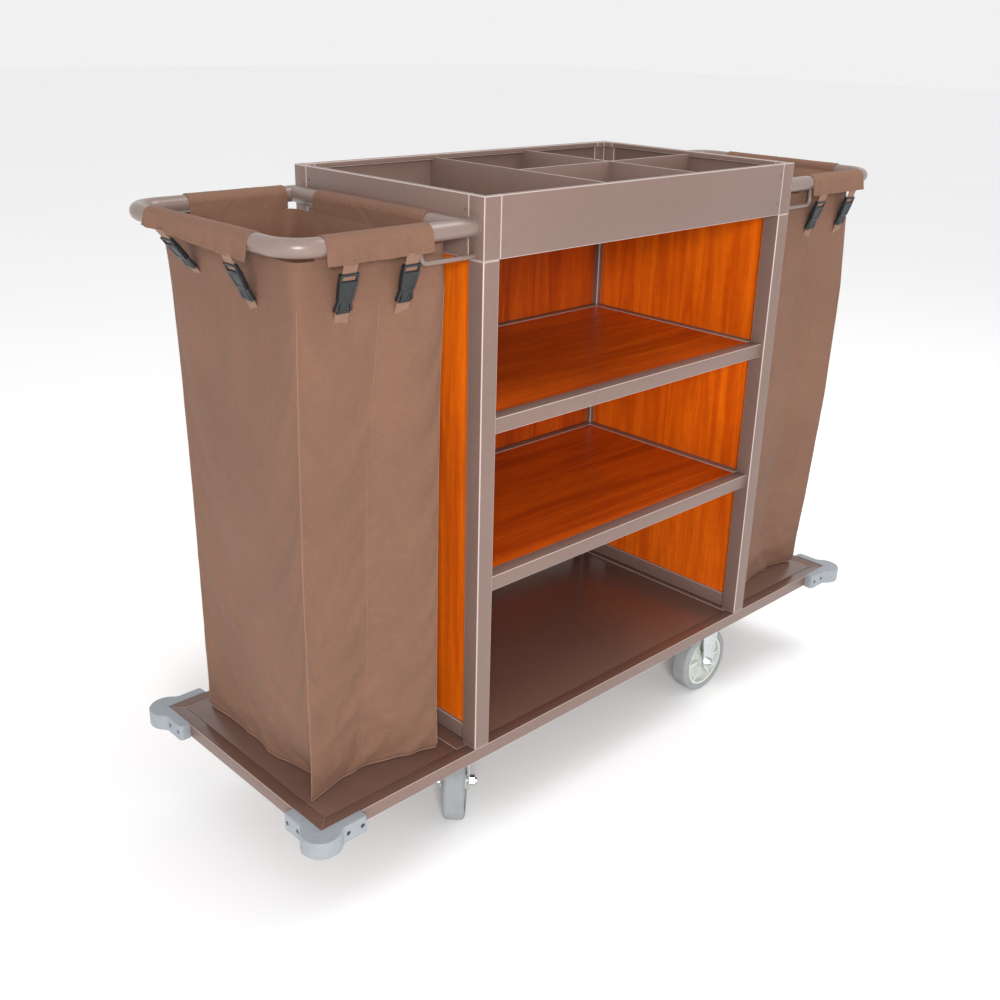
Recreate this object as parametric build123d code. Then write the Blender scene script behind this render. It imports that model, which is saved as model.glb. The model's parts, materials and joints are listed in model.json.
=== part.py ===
from build123d import *
import math
import os

# Housekeeping cart, millimetres.  X is the long direction, -Y the open front, +Z up.
# The origin is on the floor under the middle of the cart.

# ---- Driving dimensions: platform ----
platform_length = 1500.0
platform_depth = 493.0
rim_height = 26.0
rim_width = 24.0
rim_wall = 2.0
ledge_reach = 12.0             # lip inside the rim that carries the deck panels
ledge_thickness = 2.5
deck_thickness = 6.0
deck_drop = 1.0                # deck panels lie this much below the rim's top
panel_gap = 1.0                # open joint round every inset panel
cross_rail_width = 60.0
cross_rail_overhang = 22.0     # cross rail shows this much outside the cabinet
beam_width = 104.0
beam_wall = 2.5

# ---- Driving dimensions: cabinet ----
cabinet_width = 824.0
post_size = 34.0
post_bore = 12.0
post_edge_radius = 2.0
panel_thickness = 8.0
groove_depth = 8.0
groove_clearance = 0.2         # each side of a panel in its groove
bottom_rail_height = 30.0
bottom_rail_thickness = 20.0
bottom_rail_lift = 3.0         # daylight between the bottom rails and the deck
lower_shelf_height = 333.0     # deck to shelf top
upper_shelf_height = 620.0
shelf_rail_height = 27.0
shelf_rail_width = 22.0
shelf_setback = 7.0            # front rail behind the face of the posts
shelf_panel_thickness = 8.0
shelf_ledge = 10.0
shelf_ledge_thickness = 2.0

# ---- Driving dimensions: top tray ----
tray_underside_height = 880.0  # deck to the tray's underside
tray_height = 97.0
tray_skin = 3.0
tray_bead_width = 12.0
tray_bead_height = 10.0
tray_foot_width = 16.0
tray_foot_height = 4.0
tray_corner_leg = 35.0
tray_corner_skin = 5.0
tray_floor_thickness = 3.0
tray_floor_clearance = 0.5
divider_thickness = 2.0
divider_drop = 5.0             # divider tops below the tray's top
divider_clearance = 0.2
left_divider_setback = 313.0    # outer face of the tray to the divider's middle
right_divider_setback = 262.0

# ---- Driving dimensions: bag frames ----
tube_diameter = 28.0
tube_wall = 1.5
tube_height = 50.0             # tube axis above the tray's underside
tube_end_overhang = -4.0       # tube axis beyond the end of the platform
tube_side_inset = 22.5         # tube axis inside the face of the cabinet
tube_bend_radius = 50.0
cross_tube_gap = 6.0           # cross tube to the tray's side wall
weld_gap = 0.05
collar_diameter = 34.0
collar_length = 3.0
brace_diameter = 8.0
brace_reach = 106.0
brace_height = 5.5             # brace axis above the tray's underside
brace_bend_radius = 12.0

# ---- Driving dimensions: bags ----
bag_wall = 3.0
bag_clearance = 0.3
bag_corner_radius = 34.0
bag_rim_drop = 22.0            # bag rim below the tube axis
bag_base_inner_gap = 43.0      # bag foot to the cabinet's side
bag_base_outer_gap = 28.0      # bag foot to the end of the platform
bag_base_front_gap = 46.5      # bag foot to the platform's front edge
bag_base_back_gap = 40.5       # bag foot to the platform's back edge
flap_thickness = 2.5
flap_drop = 25.0               # flap edge below the tube axis
long_flap_width = 290.0
short_flap_width = 190.0
front_flap_shift = 11.0        # front flap lies this much outboard of the bag's middle
back_flap_shift = -40.0
strap_width = 25.0
strap_thickness = 1.6
upper_strap_length = 14.0
lower_strap_length = 14.0
buckle_length = 62.0
buckle_width = 32.0
buckle_thickness = 9.0
short_flap_buckle_spread = 56.0
long_flap_buckle_spread = 91.0

# ---- Driving dimensions: bumpers ----
bumper_arm = 80.0
bumper_thickness = 20.0
bumper_height = 30.0
bumper_bulge_radius = 35.0
bumper_waist_radius = 16.0
bumper_tip_radius = 7.0
bumper_edge_radius = 3.0
bumper_screw_pitch = 29.0
bumper_screw_start = 40.0
screw_head_diameter = 8.0
screw_head_depth = 2.5
screw_sink = 4.0
screw_access = 24.0             # clear way for the driver, from the head seat outwards
screw_clearance = 0.3

# ---- Driving dimensions: casters ----
wheel_diameter = 150.0
caster_headroom = 40.0         # top of the wheel to the face that the plates bolt to
wheel_width = 42.0
tyre_thickness = 15.0
tyre_edge_radius = 9.0
hub_width = 36.0
hub_rim_thickness = 6.0
hub_boss_diameter = 34.0
hub_boss_width = 46.0
hub_web_thickness = 8.0
hub_pocket_count = 6
hub_rib_width = 5.0
axle_diameter = 12.0
axle_clearance = 0.05
fork_gap = 50.0
fork_leg_thickness = 4.0
fork_top_width = 60.0
fork_end_radius = 18.0
fork_crown_thickness = 5.0
swivel_trail = 46.0
swivel_inset_x = 12.5          # kingpin inside the cabinet's side
swivel_inset_y = 70.0          # kingpin inside the platform's long edge
swivel_heading = 45.0          # degrees from the kingpin to the wheel at rest
swivel_gap = 0.5
race_diameter = 62.0
race_height = 11.0
kingpin_diameter = 12.0
kingpin_head_diameter = 22.0
kingpin_head_height = 5.0
crown_diameter = 70.0
fixed_inset_x = 45.0           # axle inside the cabinet's side
fixed_inset_y = 75.5           # wheel's middle inside the platform's long edge
plate_length = 100.0
plate_width = 85.0
plate_thickness = 3.0
plate_radius = 10.0
bolt_spacing_x = 80.0
bolt_spacing_y = 60.0
bolt_diameter = 8.0
bolt_clearance = 0.3
bolt_head_flats = 13.0
bolt_head_height = 5.0
nut_flats = 18.0
nut_height = 9.0

# ---- Positions that follow from the sizes above ----
caster_height = wheel_diameter + caster_headroom
deck_top = caster_height + rim_height
panel_top = deck_top - deck_drop
ledge_top = panel_top - deck_thickness
half_length = platform_length / 2
half_depth = platform_depth / 2
half_cabinet = cabinet_width / 2
swivel_x = half_cabinet - swivel_inset_x
swivel_y = half_depth - swivel_inset_y
fixed_x = half_cabinet - fixed_inset_x
fixed_y = half_depth - fixed_inset_y
post_x = half_cabinet - post_size / 2
post_y = half_depth - post_size / 2
post_inner_x = half_cabinet - post_size
post_inner_y = half_depth - post_size
cross_rail_outer = half_cabinet + cross_rail_overhang
cross_rail_inner = cross_rail_outer - cross_rail_width
tray_bottom = deck_top + tray_underside_height
tray_top = tray_bottom + tray_height
tray_floor_top = tray_bottom + tray_foot_height + tray_floor_thickness
left_divider_x = left_divider_setback - half_cabinet
right_divider_x = half_cabinet - right_divider_setback
side_panel_inner = post_x - panel_thickness / 2
back_panel_front = post_y - panel_thickness / 2
tube_radius = tube_diameter / 2
tube_z = tray_bottom + tube_height
tube_end_x = half_length + tube_end_overhang
tube_side_y = half_depth - tube_side_inset
cross_tube_x = half_cabinet + tube_diameter / 2 + cross_tube_gap
bag_middle_x = (tube_end_x + cross_tube_x) / 2
front_flap_x = bag_middle_x + front_flap_shift
back_flap_x = bag_middle_x + back_flap_shift
bag_base_inner_x = half_cabinet + bag_base_inner_gap
bag_base_outer_x = half_length - bag_base_outer_gap
bag_base_front_y = bag_base_front_gap - half_depth
bag_base_back_y = half_depth - bag_base_back_gap
bag_rim_z = tube_z - bag_rim_drop
bag_reach = tube_radius + bag_clearance
wheel_radius = wheel_diameter / 2
plate_bottom = caster_height - plate_thickness
fork_half = fork_gap / 2 + fork_leg_thickness
bolt_reach = 12.0 + plate_thickness


def block(x_range, y_range, z_range):
    """A box from its three pairs of limits."""
    spans = [high - low for low, high in (x_range, y_range, z_range)]
    centre = [(low + high) / 2 for low, high in (x_range, y_range, z_range)]
    return Pos(*centre) * Box(*spans)


def prism(points, z_low, z_high):
    """A closed outline of XY points, raised from z_low to z_high."""
    face = make_face(Polyline(*points, close=True))
    return Pos(0, 0, z_low) * extrude(face, amount=z_high - z_low, dir=(0, 0, 1))


def bar_along_x(points, length):
    """A closed outline of (y, z) points, run along X and centred on x = 0."""
    line = Polyline(*[(-length / 2, y, z) for y, z in points], close=True)
    return extrude(make_face(line), amount=length, dir=(1, 0, 0))


def rod_x(diameter, length, x_low, y=0.0, z=0.0):
    """A round bar along +X from x_low."""
    return Pos(x_low + length / 2, y, z) * Rot(0, 90, 0) * Cylinder(diameter / 2, length)


def rod_y(diameter, length, centre=(0.0, 0.0, 0.0)):
    """A round bar along Y, centred on a point."""
    return Pos(*centre) * Rot(90, 0, 0) * Cylinder(diameter / 2, length)


def hexagon(flats, height):
    """A hexagonal prism centred on the origin, across flats in XY."""
    return extrude(RegularPolygon(flats / math.sqrt(3), 6), amount=height / 2, both=True)


def group(shapes):
    """Several separate solids as one group."""
    return Compound([solid for shape in shapes for solid in shape.solids()])


def save(shape, node):
    """Write one sub-part."""
    export_step(shape, f"parts/{node}.step")


# ---- Platform ----
def rim_rail(run, offset):
    """Hollow rim rail with its deck ledge, along X at y = -offset, mitred at both ends."""
    inner = offset - rim_width
    outline = [(-offset, caster_height), (-inner, caster_height), (-inner, deck_top), (-offset, deck_top)]
    hollow = [
        (-offset + rim_wall, caster_height + rim_wall),
        (-inner - rim_wall, caster_height + rim_wall),
        (-inner - rim_wall, deck_top - rim_wall),
        (-offset + rim_wall, deck_top - rim_wall),
    ]
    ledge = block((-run / 2, run / 2), (-inner, -inner + ledge_reach), (ledge_top - ledge_thickness, ledge_top))
    rail = bar_along_x(outline, run) - bar_along_x(hollow, run) + ledge
    reach = rim_width + ledge_reach
    mitre = prism(
        [
            (-run / 2, -offset),
            (run / 2, -offset),
            (run / 2 - reach, -offset + reach),
            (-run / 2 + reach, -offset + reach),
        ],
        caster_height,
        deck_top,
    )
    return rail & mitre


def deck_panel(x_low, x_high):
    """Inset deck sheet between two X limits, with an open joint all round."""
    limit = half_depth - rim_width - panel_gap
    return block((x_low + panel_gap, x_high - panel_gap), (-limit, limit), (ledge_top, panel_top))


def deck_cross_rail(side):
    """Flush strip under the cabinet's side that parts the deck panels."""
    limit = half_depth - rim_width
    x_range = sorted((side * cross_rail_inner, side * cross_rail_outer))
    return block(x_range, (-limit, limit), (ledge_top, deck_top))


def caster_beam(x_centre):
    """Channel under the deck that a pair of casters bolts to."""
    inner = half_depth - rim_width
    x_range = (x_centre - beam_width / 2, x_centre + beam_width / 2)
    low = block(x_range, (-inner, inner), (caster_height, ledge_top - ledge_thickness))
    high = block(x_range, (-inner + ledge_reach, inner - ledge_reach), (caster_height, ledge_top))
    tunnel = block(
        (x_range[0] + beam_wall, x_range[1] - beam_wall),
        (-inner, inner),
        (caster_height + beam_wall, ledge_top - ledge_thickness - beam_wall),
    )
    return low + high - tunnel


def bumper():
    """Corner bumper for the corner at (-X, -Y): two arms and a round bulge."""
    x0, y0 = -half_length, -half_depth
    thick = bumper_thickness
    arm_x = block((x0 - thick, x0 + bumper_arm), (y0 - thick, y0), (0, bumper_height))
    arm_y = block((x0 - thick, x0), (y0 - thick, y0 + bumper_arm), (0, bumper_height))
    bulge = Pos(x0, y0, bumper_height / 2) * Cylinder(bumper_bulge_radius, bumper_height)
    shape = arm_x + arm_y + bulge
    shape -= block((x0, half_length), (y0, half_depth), (0, bumper_height))
    waists = [
        edge
        for edge in shape.edges().filter_by(Axis.Z)
        if abs(math.hypot(edge.center().X - x0, edge.center().Y - y0) - bumper_bulge_radius) < 0.01
    ]
    shape = fillet(waists, bumper_waist_radius)
    tips = [
        edge
        for edge in shape.edges().filter_by(Axis.Z)
        if edge.center().X > x0 + bumper_arm - 0.01
        and edge.center().Y < y0 - 0.01
        or edge.center().Y > y0 + bumper_arm - 0.01
        and edge.center().X < x0 - 0.01
    ]
    shape = fillet(tips, bumper_tip_radius)
    outer = [
        edge
        for edge in shape.edges()
        if abs(edge.center().Z - bumper_height) < 0.01
        and (edge.center().X < x0 - 1 or edge.center().Y < y0 - 1)
        and edge.center().X < x0 + bumper_arm - 0.01
        and edge.center().Y < y0 + bumper_arm - 0.01
    ]
    shape = fillet(outer, bumper_edge_radius)
    for screw in screw_places():
        shape -= screw * Pos(0, 0, bumper_thickness / 2 - screw_sink + screw_access / 2) * Cylinder(
            screw_head_diameter / 2 + screw_clearance, screw_access
        )
    return Pos(0, 0, deck_top + (bumper_height - rim_height) / 2 - bumper_height) * shape


def screw_places():
    """Where the bumper's screws sit: local Z points out of the arm, the origin is mid wall."""
    x0, y0 = -half_length, -half_depth
    mid = bumper_thickness / 2
    places = []
    for step in range(2):
        along = bumper_screw_start + step * bumper_screw_pitch
        places.append(Pos(x0 + along, y0 - mid, bumper_height / 2) * Rot(90, 0, 0))
        places.append(Pos(x0 - mid, y0 + along, bumper_height / 2) * Rot(0, -90, 0))
    return places


def bumper_screw_set():
    """Pan heads seated in one bumper's four counterbores."""
    lift = Pos(0, 0, deck_top + (bumper_height - rim_height) / 2 - bumper_height)
    head_z = bumper_thickness / 2 - screw_sink + screw_head_depth / 2
    heads = []
    for screw in screw_places():
        head = Cylinder(screw_head_diameter / 2, screw_head_depth)
        slot = Pos(0, 0, screw_head_depth / 2) * Box(screw_head_diameter * 0.7, 1.2, 1.2)
        cross = Pos(0, 0, screw_head_depth / 2) * Box(1.2, screw_head_diameter * 0.7, 1.2)
        heads.append(lift * screw * Pos(0, 0, head_z) * (head - slot - cross))
    return heads


# ---- Cabinet ----
def post(side, back):
    """Grooved corner post; back posts have a second groove for the back panel."""
    core = Box(post_size, post_size, tray_bottom - deck_top)
    core = fillet(core.edges().filter_by(Axis.Z), post_edge_radius)
    core -= Box(post_bore, post_bore, tray_bottom - deck_top)
    width = panel_thickness + 2 * groove_clearance
    facing = -1 if back else 1
    slot_centre = post_size / 2 - groove_depth / 2
    core -= Pos(0, facing * slot_centre, 0) * Box(width, groove_depth, tray_bottom - deck_top)
    if back:
        core -= Pos(-side * slot_centre, 0, 0) * Box(groove_depth, width, tray_bottom - deck_top)
    y = post_y if back else -post_y
    return Pos(side * post_x, y, (deck_top + tray_bottom) / 2) * core


def panel_limits(inner):
    """Panel edge position, short of the groove's floor by the groove clearance."""
    return inner + groove_depth - groove_clearance


def bottom_rail_top():
    """Top of the rails under the side and back panels."""
    return deck_top + bottom_rail_lift + bottom_rail_height


def panel_bottom():
    """Lower edge of the panels, seated in the bottom rails."""
    return bottom_rail_top() - groove_depth + groove_clearance


def side_panel(side):
    """Laminated side panel in the grooves of a front and a back post."""
    limit = panel_limits(post_inner_y)
    x_range = sorted((side * side_panel_inner, side * (side_panel_inner + panel_thickness)))
    return block(x_range, (-limit, limit), (panel_bottom(), tray_bottom))


def back_panel():
    """Laminated back panel in the grooves of the back posts."""
    limit = panel_limits(post_inner_x)
    y_range = (back_panel_front, back_panel_front + panel_thickness)
    return block((-limit, limit), y_range, (panel_bottom(), tray_bottom))


def bottom_rail(run, offset):
    """Grooved rail under a panel, along X at y = offset."""
    z_low = deck_top + bottom_rail_lift
    half = bottom_rail_thickness / 2
    rail = block((-run / 2, run / 2), (offset - half, offset + half), (z_low, bottom_rail_top()))
    width = panel_thickness / 2 + groove_clearance
    slot = block(
        (-run / 2, run / 2),
        (offset - width, offset + width),
        (bottom_rail_top() - groove_depth, bottom_rail_top()),
    )
    return rail - slot


def shelf_rails(top):
    """Front, back and two side rails of one shelf, with lips under its panel."""
    low = top - shelf_rail_height
    front_low = -half_depth + shelf_setback
    back_high = back_panel_front
    side_inner = side_panel_inner - shelf_rail_width
    lip_top = top - deck_drop - shelf_panel_thickness
    lip = (lip_top - shelf_ledge_thickness, lip_top)
    lip_x = (-side_inner, side_inner)
    front = block((-post_inner_x, post_inner_x), (front_low, -post_inner_y), (low, top))
    front += block(lip_x, (-post_inner_y, -post_inner_y + shelf_ledge), lip)
    back_inner = back_high - shelf_rail_width
    back = block((-post_inner_x, post_inner_x), (post_inner_y, back_high), (low, top))
    back += block(lip_x, (back_inner, post_inner_y), (low, top))
    back += block(lip_x, (back_inner - shelf_ledge, back_inner), lip)
    side = block((side_inner, side_panel_inner), (-post_inner_y, post_inner_y), (low, top))
    return [front, back, side, mirror(side, Plane.YZ)]


def shelf_panel(top):
    """Laminated shelf board resting on the front and back rails' lips."""
    limit = side_panel_inner - shelf_rail_width - panel_gap
    back_limit = back_panel_front - shelf_rail_width - panel_gap
    y_range = (-post_inner_y + panel_gap, back_limit)
    high = top - deck_drop
    return block((-limit, limit), y_range, (high - shelf_panel_thickness, high))


# ---- Top tray ----
def tray_wall(run, offset):
    """Tray wall along X with its outer face at y = -offset: skin, top bead and foot."""
    inner = -offset + tray_skin
    outline = [
        (-offset, tray_bottom),
        (-offset + tray_foot_width, tray_bottom),
        (-offset + tray_foot_width, tray_bottom + tray_foot_height),
        (inner, tray_bottom + tray_foot_height),
        (inner, tray_top - tray_bead_height),
        (-offset + tray_bead_width, tray_top - tray_bead_height),
        (-offset + tray_bead_width, tray_top),
        (-offset, tray_top),
    ]
    return bar_along_x(outline, run)


def tray_corner():
    """Corner angle at (-X, -Y) that joins two tray walls."""
    x0, y0, leg = -half_cabinet, -half_depth, tray_corner_leg

    def angle(thick, z_low, z_high):
        outline = [
            (x0, y0),
            (x0 + leg, y0),
            (x0 + leg, y0 + thick),
            (x0 + thick, y0 + thick),
            (x0 + thick, y0 + leg),
            (x0, y0 + leg),
        ]
        return prism(outline, z_low, z_high)

    corner = angle(tray_corner_skin, tray_bottom, tray_top)
    corner += angle(tray_foot_width, tray_bottom, tray_bottom + tray_foot_height)
    corner += angle(tray_bead_width, tray_top - tray_bead_height, tray_top)
    return corner


def tray_floor():
    """Tray floor sheet resting on the feet of the walls."""
    x = half_cabinet - tray_corner_skin - tray_floor_clearance
    y = half_depth - tray_corner_skin - tray_floor_clearance
    z_range = (tray_floor_top - tray_floor_thickness, tray_floor_top)
    return block((-x, x), (-y, y), z_range)


def divider_levels():
    """Lower edge, half-lap height, bead underside and top edge of the dividers."""
    low = tray_floor_top
    high = tray_top - divider_drop
    return low, (low + high) / 2, tray_top - tray_bead_height - divider_clearance, high


def cross_divider(x, slotted):
    """Full-depth divider at x; slotted from above where the long divider crosses it."""
    low, middle, under_bead, high = divider_levels()
    wide = half_depth - tray_skin - divider_clearance
    narrow = half_depth - tray_bead_width - divider_clearance
    x_range = (x - divider_thickness / 2, x + divider_thickness / 2)
    sheet = block(x_range, (-wide, wide), (low, under_bead))
    sheet += block(x_range, (-narrow, narrow), (low, high))
    if slotted:
        half = divider_thickness / 2 + divider_clearance
        sheet -= block((x_range[0], x_range[1]), (-half, half), (middle, high))
    return sheet


def long_divider():
    """Lengthwise divider from the left divider to the right wall, slotted from below."""
    low, middle, under_bead, high = divider_levels()
    start = left_divider_x + divider_thickness / 2
    wide = half_cabinet - tray_skin - divider_clearance
    narrow = half_cabinet - tray_bead_width - divider_clearance
    y_range = (-divider_thickness / 2, divider_thickness / 2)
    sheet = block((start, wide), y_range, (low, under_bead))
    sheet += block((start, narrow), y_range, (low, high))
    half = divider_thickness / 2 + divider_clearance
    return sheet - block((right_divider_x - half, right_divider_x + half), y_range, (low, middle + divider_clearance))


# ---- Bag frames, built for the left end ----
def tube_path():
    """Centre line of the bag frame: a loop bent round the end of the cart."""
    return FilletPolyline(
        (-half_cabinet, -tube_side_y, tube_z),
        (-tube_end_x, -tube_side_y, tube_z),
        (-tube_end_x, tube_side_y, tube_z),
        (-half_cabinet, tube_side_y, tube_z),
        radius=tube_bend_radius,
    )


def bag_tube():
    """Bent tube that carries a bag, open to the tray's side wall at both ends."""
    path = tube_path()
    start = Plane(origin=path @ 0, z_dir=path % 0)
    outer = sweep(start * Circle(tube_radius), path=path)
    inner = sweep(start * Circle(tube_radius - tube_wall), path=path)
    return outer - inner


def cross_tube():
    """Straight tube beside the tray, saddled to both runs of the bag frame."""
    centre = (-cross_tube_x, 0, tube_z)
    tube = rod_y(tube_diameter, 2 * tube_side_y, centre)
    tube -= rod_y(tube_diameter - 2 * tube_wall, 2 * tube_side_y, centre)
    for y in (-tube_side_y, tube_side_y):
        saddle = rod_x(tube_diameter + 2 * weld_gap, 4 * tube_diameter, -cross_tube_x - 2 * tube_diameter, y, tube_z)
        tube -= saddle
    return tube


def collar(y):
    """Ring where the bag frame meets the tray's side wall."""
    ring = rod_x(collar_diameter, collar_length, -half_cabinet - collar_length, y, tube_z)
    return ring - rod_x(tube_diameter + 2 * weld_gap, collar_length, -half_cabinet - collar_length, y, tube_z)


def brace(y):
    """L-shaped rod from the tray's side wall up to the frame tube."""
    z = tray_bottom + brace_height
    x = -half_cabinet - brace_reach
    path = FilletPolyline(
        (-half_cabinet, y, z), (x, y, z), (x, y, tube_z - tube_radius - weld_gap), radius=brace_bend_radius
    )
    start = Plane(origin=path @ 0, z_dir=path % 0)
    return sweep(start * Circle(brace_diameter / 2), path=path)


# ---- Bags, built for the left end ----
def rounded_outline(x_low, x_high, y_low, y_high, z, radius):
    """Rounded rectangle at a height."""
    centre = Pos((x_low + x_high) / 2, (y_low + y_high) / 2, z)
    return centre * RectangleRounded(x_high - x_low, y_high - y_low, radius)


def bag_solid(inset, z_low):
    """Tapered bag form, drawn in by inset on every side."""
    base = rounded_outline(
        -bag_base_outer_x + inset,
        -bag_base_inner_x - inset,
        bag_base_front_y + inset,
        bag_base_back_y - inset,
        z_low,
        bag_corner_radius - inset,
    )
    rim = rounded_outline(
        -tube_end_x + bag_reach + inset,
        -cross_tube_x - bag_reach - inset,
        -tube_side_y + bag_reach + inset,
        tube_side_y - bag_reach - inset,
        bag_rim_z,
        bag_corner_radius - inset,
    )
    return loft([base, rim])


def bag():
    """Open-topped bag standing on the deck inside its tube frame."""
    return bag_solid(0, panel_top) - bag_solid(bag_wall, panel_top + bag_wall)


def flap(width):
    """Flap folded over a tube that runs along X at the origin; -Y is the outer side."""
    inner = tube_radius + bag_clearance
    outer = inner + flap_thickness
    ring = Circle(outer) - Circle(inner)
    top = ring & Pos(0, outer / 2) * Rectangle(2 * outer, outer)
    drop = Pos(-(inner + outer) / 2, -flap_drop / 2) * Rectangle(flap_thickness, flap_drop)
    tuck = Pos((inner + outer) / 2, -bag_rim_drop / 2) * Rectangle(flap_thickness, bag_rim_drop)
    section = top + drop + tuck
    return extrude(Plane.YZ * section, amount=width / 2, both=True)


def frame_sides():
    """Placement and width of the flaps: front, end, back and tray side of the frame."""
    return {
        "front": (Pos(-front_flap_x, -tube_side_y, tube_z), short_flap_width),
        "end": (Pos(-tube_end_x, 0, tube_z) * Rot(0, 0, -90), long_flap_width),
        "back": (Pos(-back_flap_x, tube_side_y, tube_z) * Rot(0, 0, 180), short_flap_width),
        "tray": (Pos(-cross_tube_x, 0, tube_z) * Rot(0, 0, 90), long_flap_width),
    }


def bag_flaps():
    """The four flaps of one bag."""
    return [place * flap(width) for place, width in frame_sides().values()]


def buckle_line():
    """Start of a strap at the flap's edge, in the flap's own frame; its Z runs down to the bag."""
    outer_y = tube_radius + bag_clearance + flap_thickness / 2
    inner_y = tube_radius - strap_thickness / 2
    run = upper_strap_length + buckle_length + lower_strap_length
    lean = math.degrees(math.asin((outer_y + inner_y) / run))
    return Pos(0, -outer_y, -flap_drop - strap_thickness / 2) * Rot(180 + lean, 0, 0)


def strap_pair():
    """Webbing tabs above and below one buckle."""
    upper = Pos(0, 0, upper_strap_length / 2) * Box(strap_width, strap_thickness, upper_strap_length)
    start = upper_strap_length + buckle_length
    lower = Pos(0, 0, start + lower_strap_length / 2) * Box(strap_width, strap_thickness, lower_strap_length)
    return [buckle_line() * upper, buckle_line() * lower]


def buckle():
    """Side-release buckle: socket, waisted prong housing and side wings."""
    mid = upper_strap_length + buckle_length / 2
    socket = Pos(0, 0, mid - buckle_length / 4) * Box(buckle_width, buckle_thickness, buckle_length / 2)
    neck = Pos(0, 0, mid + buckle_length / 8) * Box(buckle_width * 0.6, buckle_thickness, buckle_length / 4)
    bar = Pos(0, 0, mid + buckle_length * 3 / 8) * Box(buckle_width, buckle_thickness, buckle_length / 4)
    return buckle_line() * (socket + neck + bar)


def on_flaps(piece):
    """Copies of a strap or buckle at its four places on the front and end flaps."""
    sides = frame_sides()
    spots = [("front", short_flap_buckle_spread), ("end", long_flap_buckle_spread)]
    return [
        sides[name][0] * Pos(sign * spread, 0, 0) * item
        for name, spread in spots
        for sign in (-1, 1)
        for item in piece
    ]


# ---- Casters, built with the fork's turning line at x = y = 0 and the wheel towards +X ----
def tyre(offset):
    """Soft tread round the hub, in a wheel whose axle is at x = offset."""
    ring = Cylinder(wheel_radius, wheel_width) - Cylinder(wheel_radius - tyre_thickness, wheel_width)
    rims = [edge for edge in ring.edges().filter_by(GeomType.CIRCLE) if abs(edge.radius - wheel_radius) < 0.01]
    ring = fillet(rims, tyre_edge_radius)
    return Pos(offset, 0, wheel_radius) * Rot(90, 0, 0) * ring


def hub(offset):
    """Moulded hub: rim, web, ribs and a bored boss."""
    outer = wheel_radius - tyre_thickness
    inner = outer - hub_rim_thickness
    shape = Cylinder(outer, hub_width) - Cylinder(inner, hub_width)
    shape += Cylinder(inner, hub_web_thickness)
    shape += Cylinder(hub_boss_diameter / 2, hub_boss_width)
    for step in range(hub_pocket_count):
        rib = Pos((inner + hub_boss_diameter / 4) / 2, 0, 0) * Box(
            inner - hub_boss_diameter / 4, hub_rib_width, hub_width * 0.8
        )
        shape += Rot(0, 0, step * 360 / hub_pocket_count) * rib
    shape -= Cylinder(axle_diameter / 2 + axle_clearance, hub_boss_width)
    return Pos(offset, 0, wheel_radius) * Rot(90, 0, 0) * shape


def fork_leg(offset, top_z, top_centre):
    """Tapered cheek of a fork, in XZ, on the -Y side of the wheel."""
    half = fork_top_width / 2
    start = Pos(offset, wheel_radius) * Circle(fork_end_radius)
    low = [(offset - fork_end_radius, wheel_radius), (offset + fork_end_radius, wheel_radius)]
    high = [(top_centre + half, top_z), (top_centre - half, top_z)]
    cheek = start + make_face(Polyline(*low, *high, close=True))
    cheek -= Pos(offset, wheel_radius) * Circle(axle_diameter / 2 + axle_clearance)
    solid = extrude(Plane.XZ * cheek, amount=fork_leg_thickness)
    return Pos(0, -fork_gap / 2, 0) * solid


def both_legs(offset, top_z, top_centre):
    """A fork's two cheeks."""
    leg = fork_leg(offset, top_z, top_centre)
    return leg + mirror(leg, Plane.XZ)


def axle(offset):
    """Bolt through both cheeks and the hub, with its head and nut as one piece."""
    pin = rod_y(axle_diameter, 2 * fork_half, (offset, 0, wheel_radius))
    head = Pos(offset, fork_half + nut_height / 2, wheel_radius) * Rot(90, 0, 0) * hexagon(nut_flats, nut_height)
    nut = Pos(offset, -fork_half - nut_height / 2, wheel_radius) * Rot(90, 0, 0) * hexagon(nut_flats, nut_height)
    tip = rod_y(axle_diameter, 4.0, (offset, -fork_half - nut_height - 2.0, wheel_radius))
    return pin + head + nut + tip


def bolt_places(centre_x, centre_y):
    """The four bolt positions of a caster plate."""
    return [
        (centre_x + sx * bolt_spacing_x / 2, centre_y + sy * bolt_spacing_y / 2)
        for sx in (-1, 1)
        for sy in (-1, 1)
    ]


def plate(centre_x, centre_y):
    """Drilled caster plate against the underside of its beam."""
    outline = RectangleRounded(plate_length, plate_width, plate_radius)
    sheet = Pos(centre_x, centre_y, plate_bottom) * extrude(outline, amount=plate_thickness)
    for x, y in bolt_places(centre_x, centre_y):
        sheet -= Pos(x, y, plate_bottom) * Cylinder(bolt_diameter / 2 + bolt_clearance, 4 * plate_thickness)
    return sheet


def bolt(x, y):
    """Hexagon-headed bolt up through a caster plate."""
    head = Pos(x, y, plate_bottom - bolt_head_height / 2) * hexagon(bolt_head_flats, bolt_head_height)
    shank = Pos(x, y, plate_bottom + bolt_reach / 2) * Cylinder(bolt_diameter / 2, bolt_reach)
    return head + shank


def drill(shape, centres):
    """Clearance holes for the caster bolts, up into a beam."""
    for x, y in centres:
        shape -= Pos(x, y, caster_height) * Cylinder(bolt_diameter / 2 + bolt_clearance, 2 * bolt_reach)
    return shape


def swivel_plate(centre_y):
    """Plate with its bearing ring and riveted kingpin."""
    x = -swivel_x
    shape = plate(x, centre_y)
    ring_bottom = plate_bottom - race_height
    shape += Pos(x, centre_y, plate_bottom - race_height / 2) * Cylinder(race_diameter / 2, race_height)
    pin_length = fork_crown_thickness + 2 * swivel_gap
    shape += Pos(x, centre_y, ring_bottom - pin_length / 2) * Cylinder(kingpin_diameter / 2, pin_length)
    head_z = ring_bottom - pin_length - kingpin_head_height / 2
    shape += Pos(x, centre_y, head_z) * Cylinder(kingpin_head_diameter / 2, kingpin_head_height)
    return shape


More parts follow.
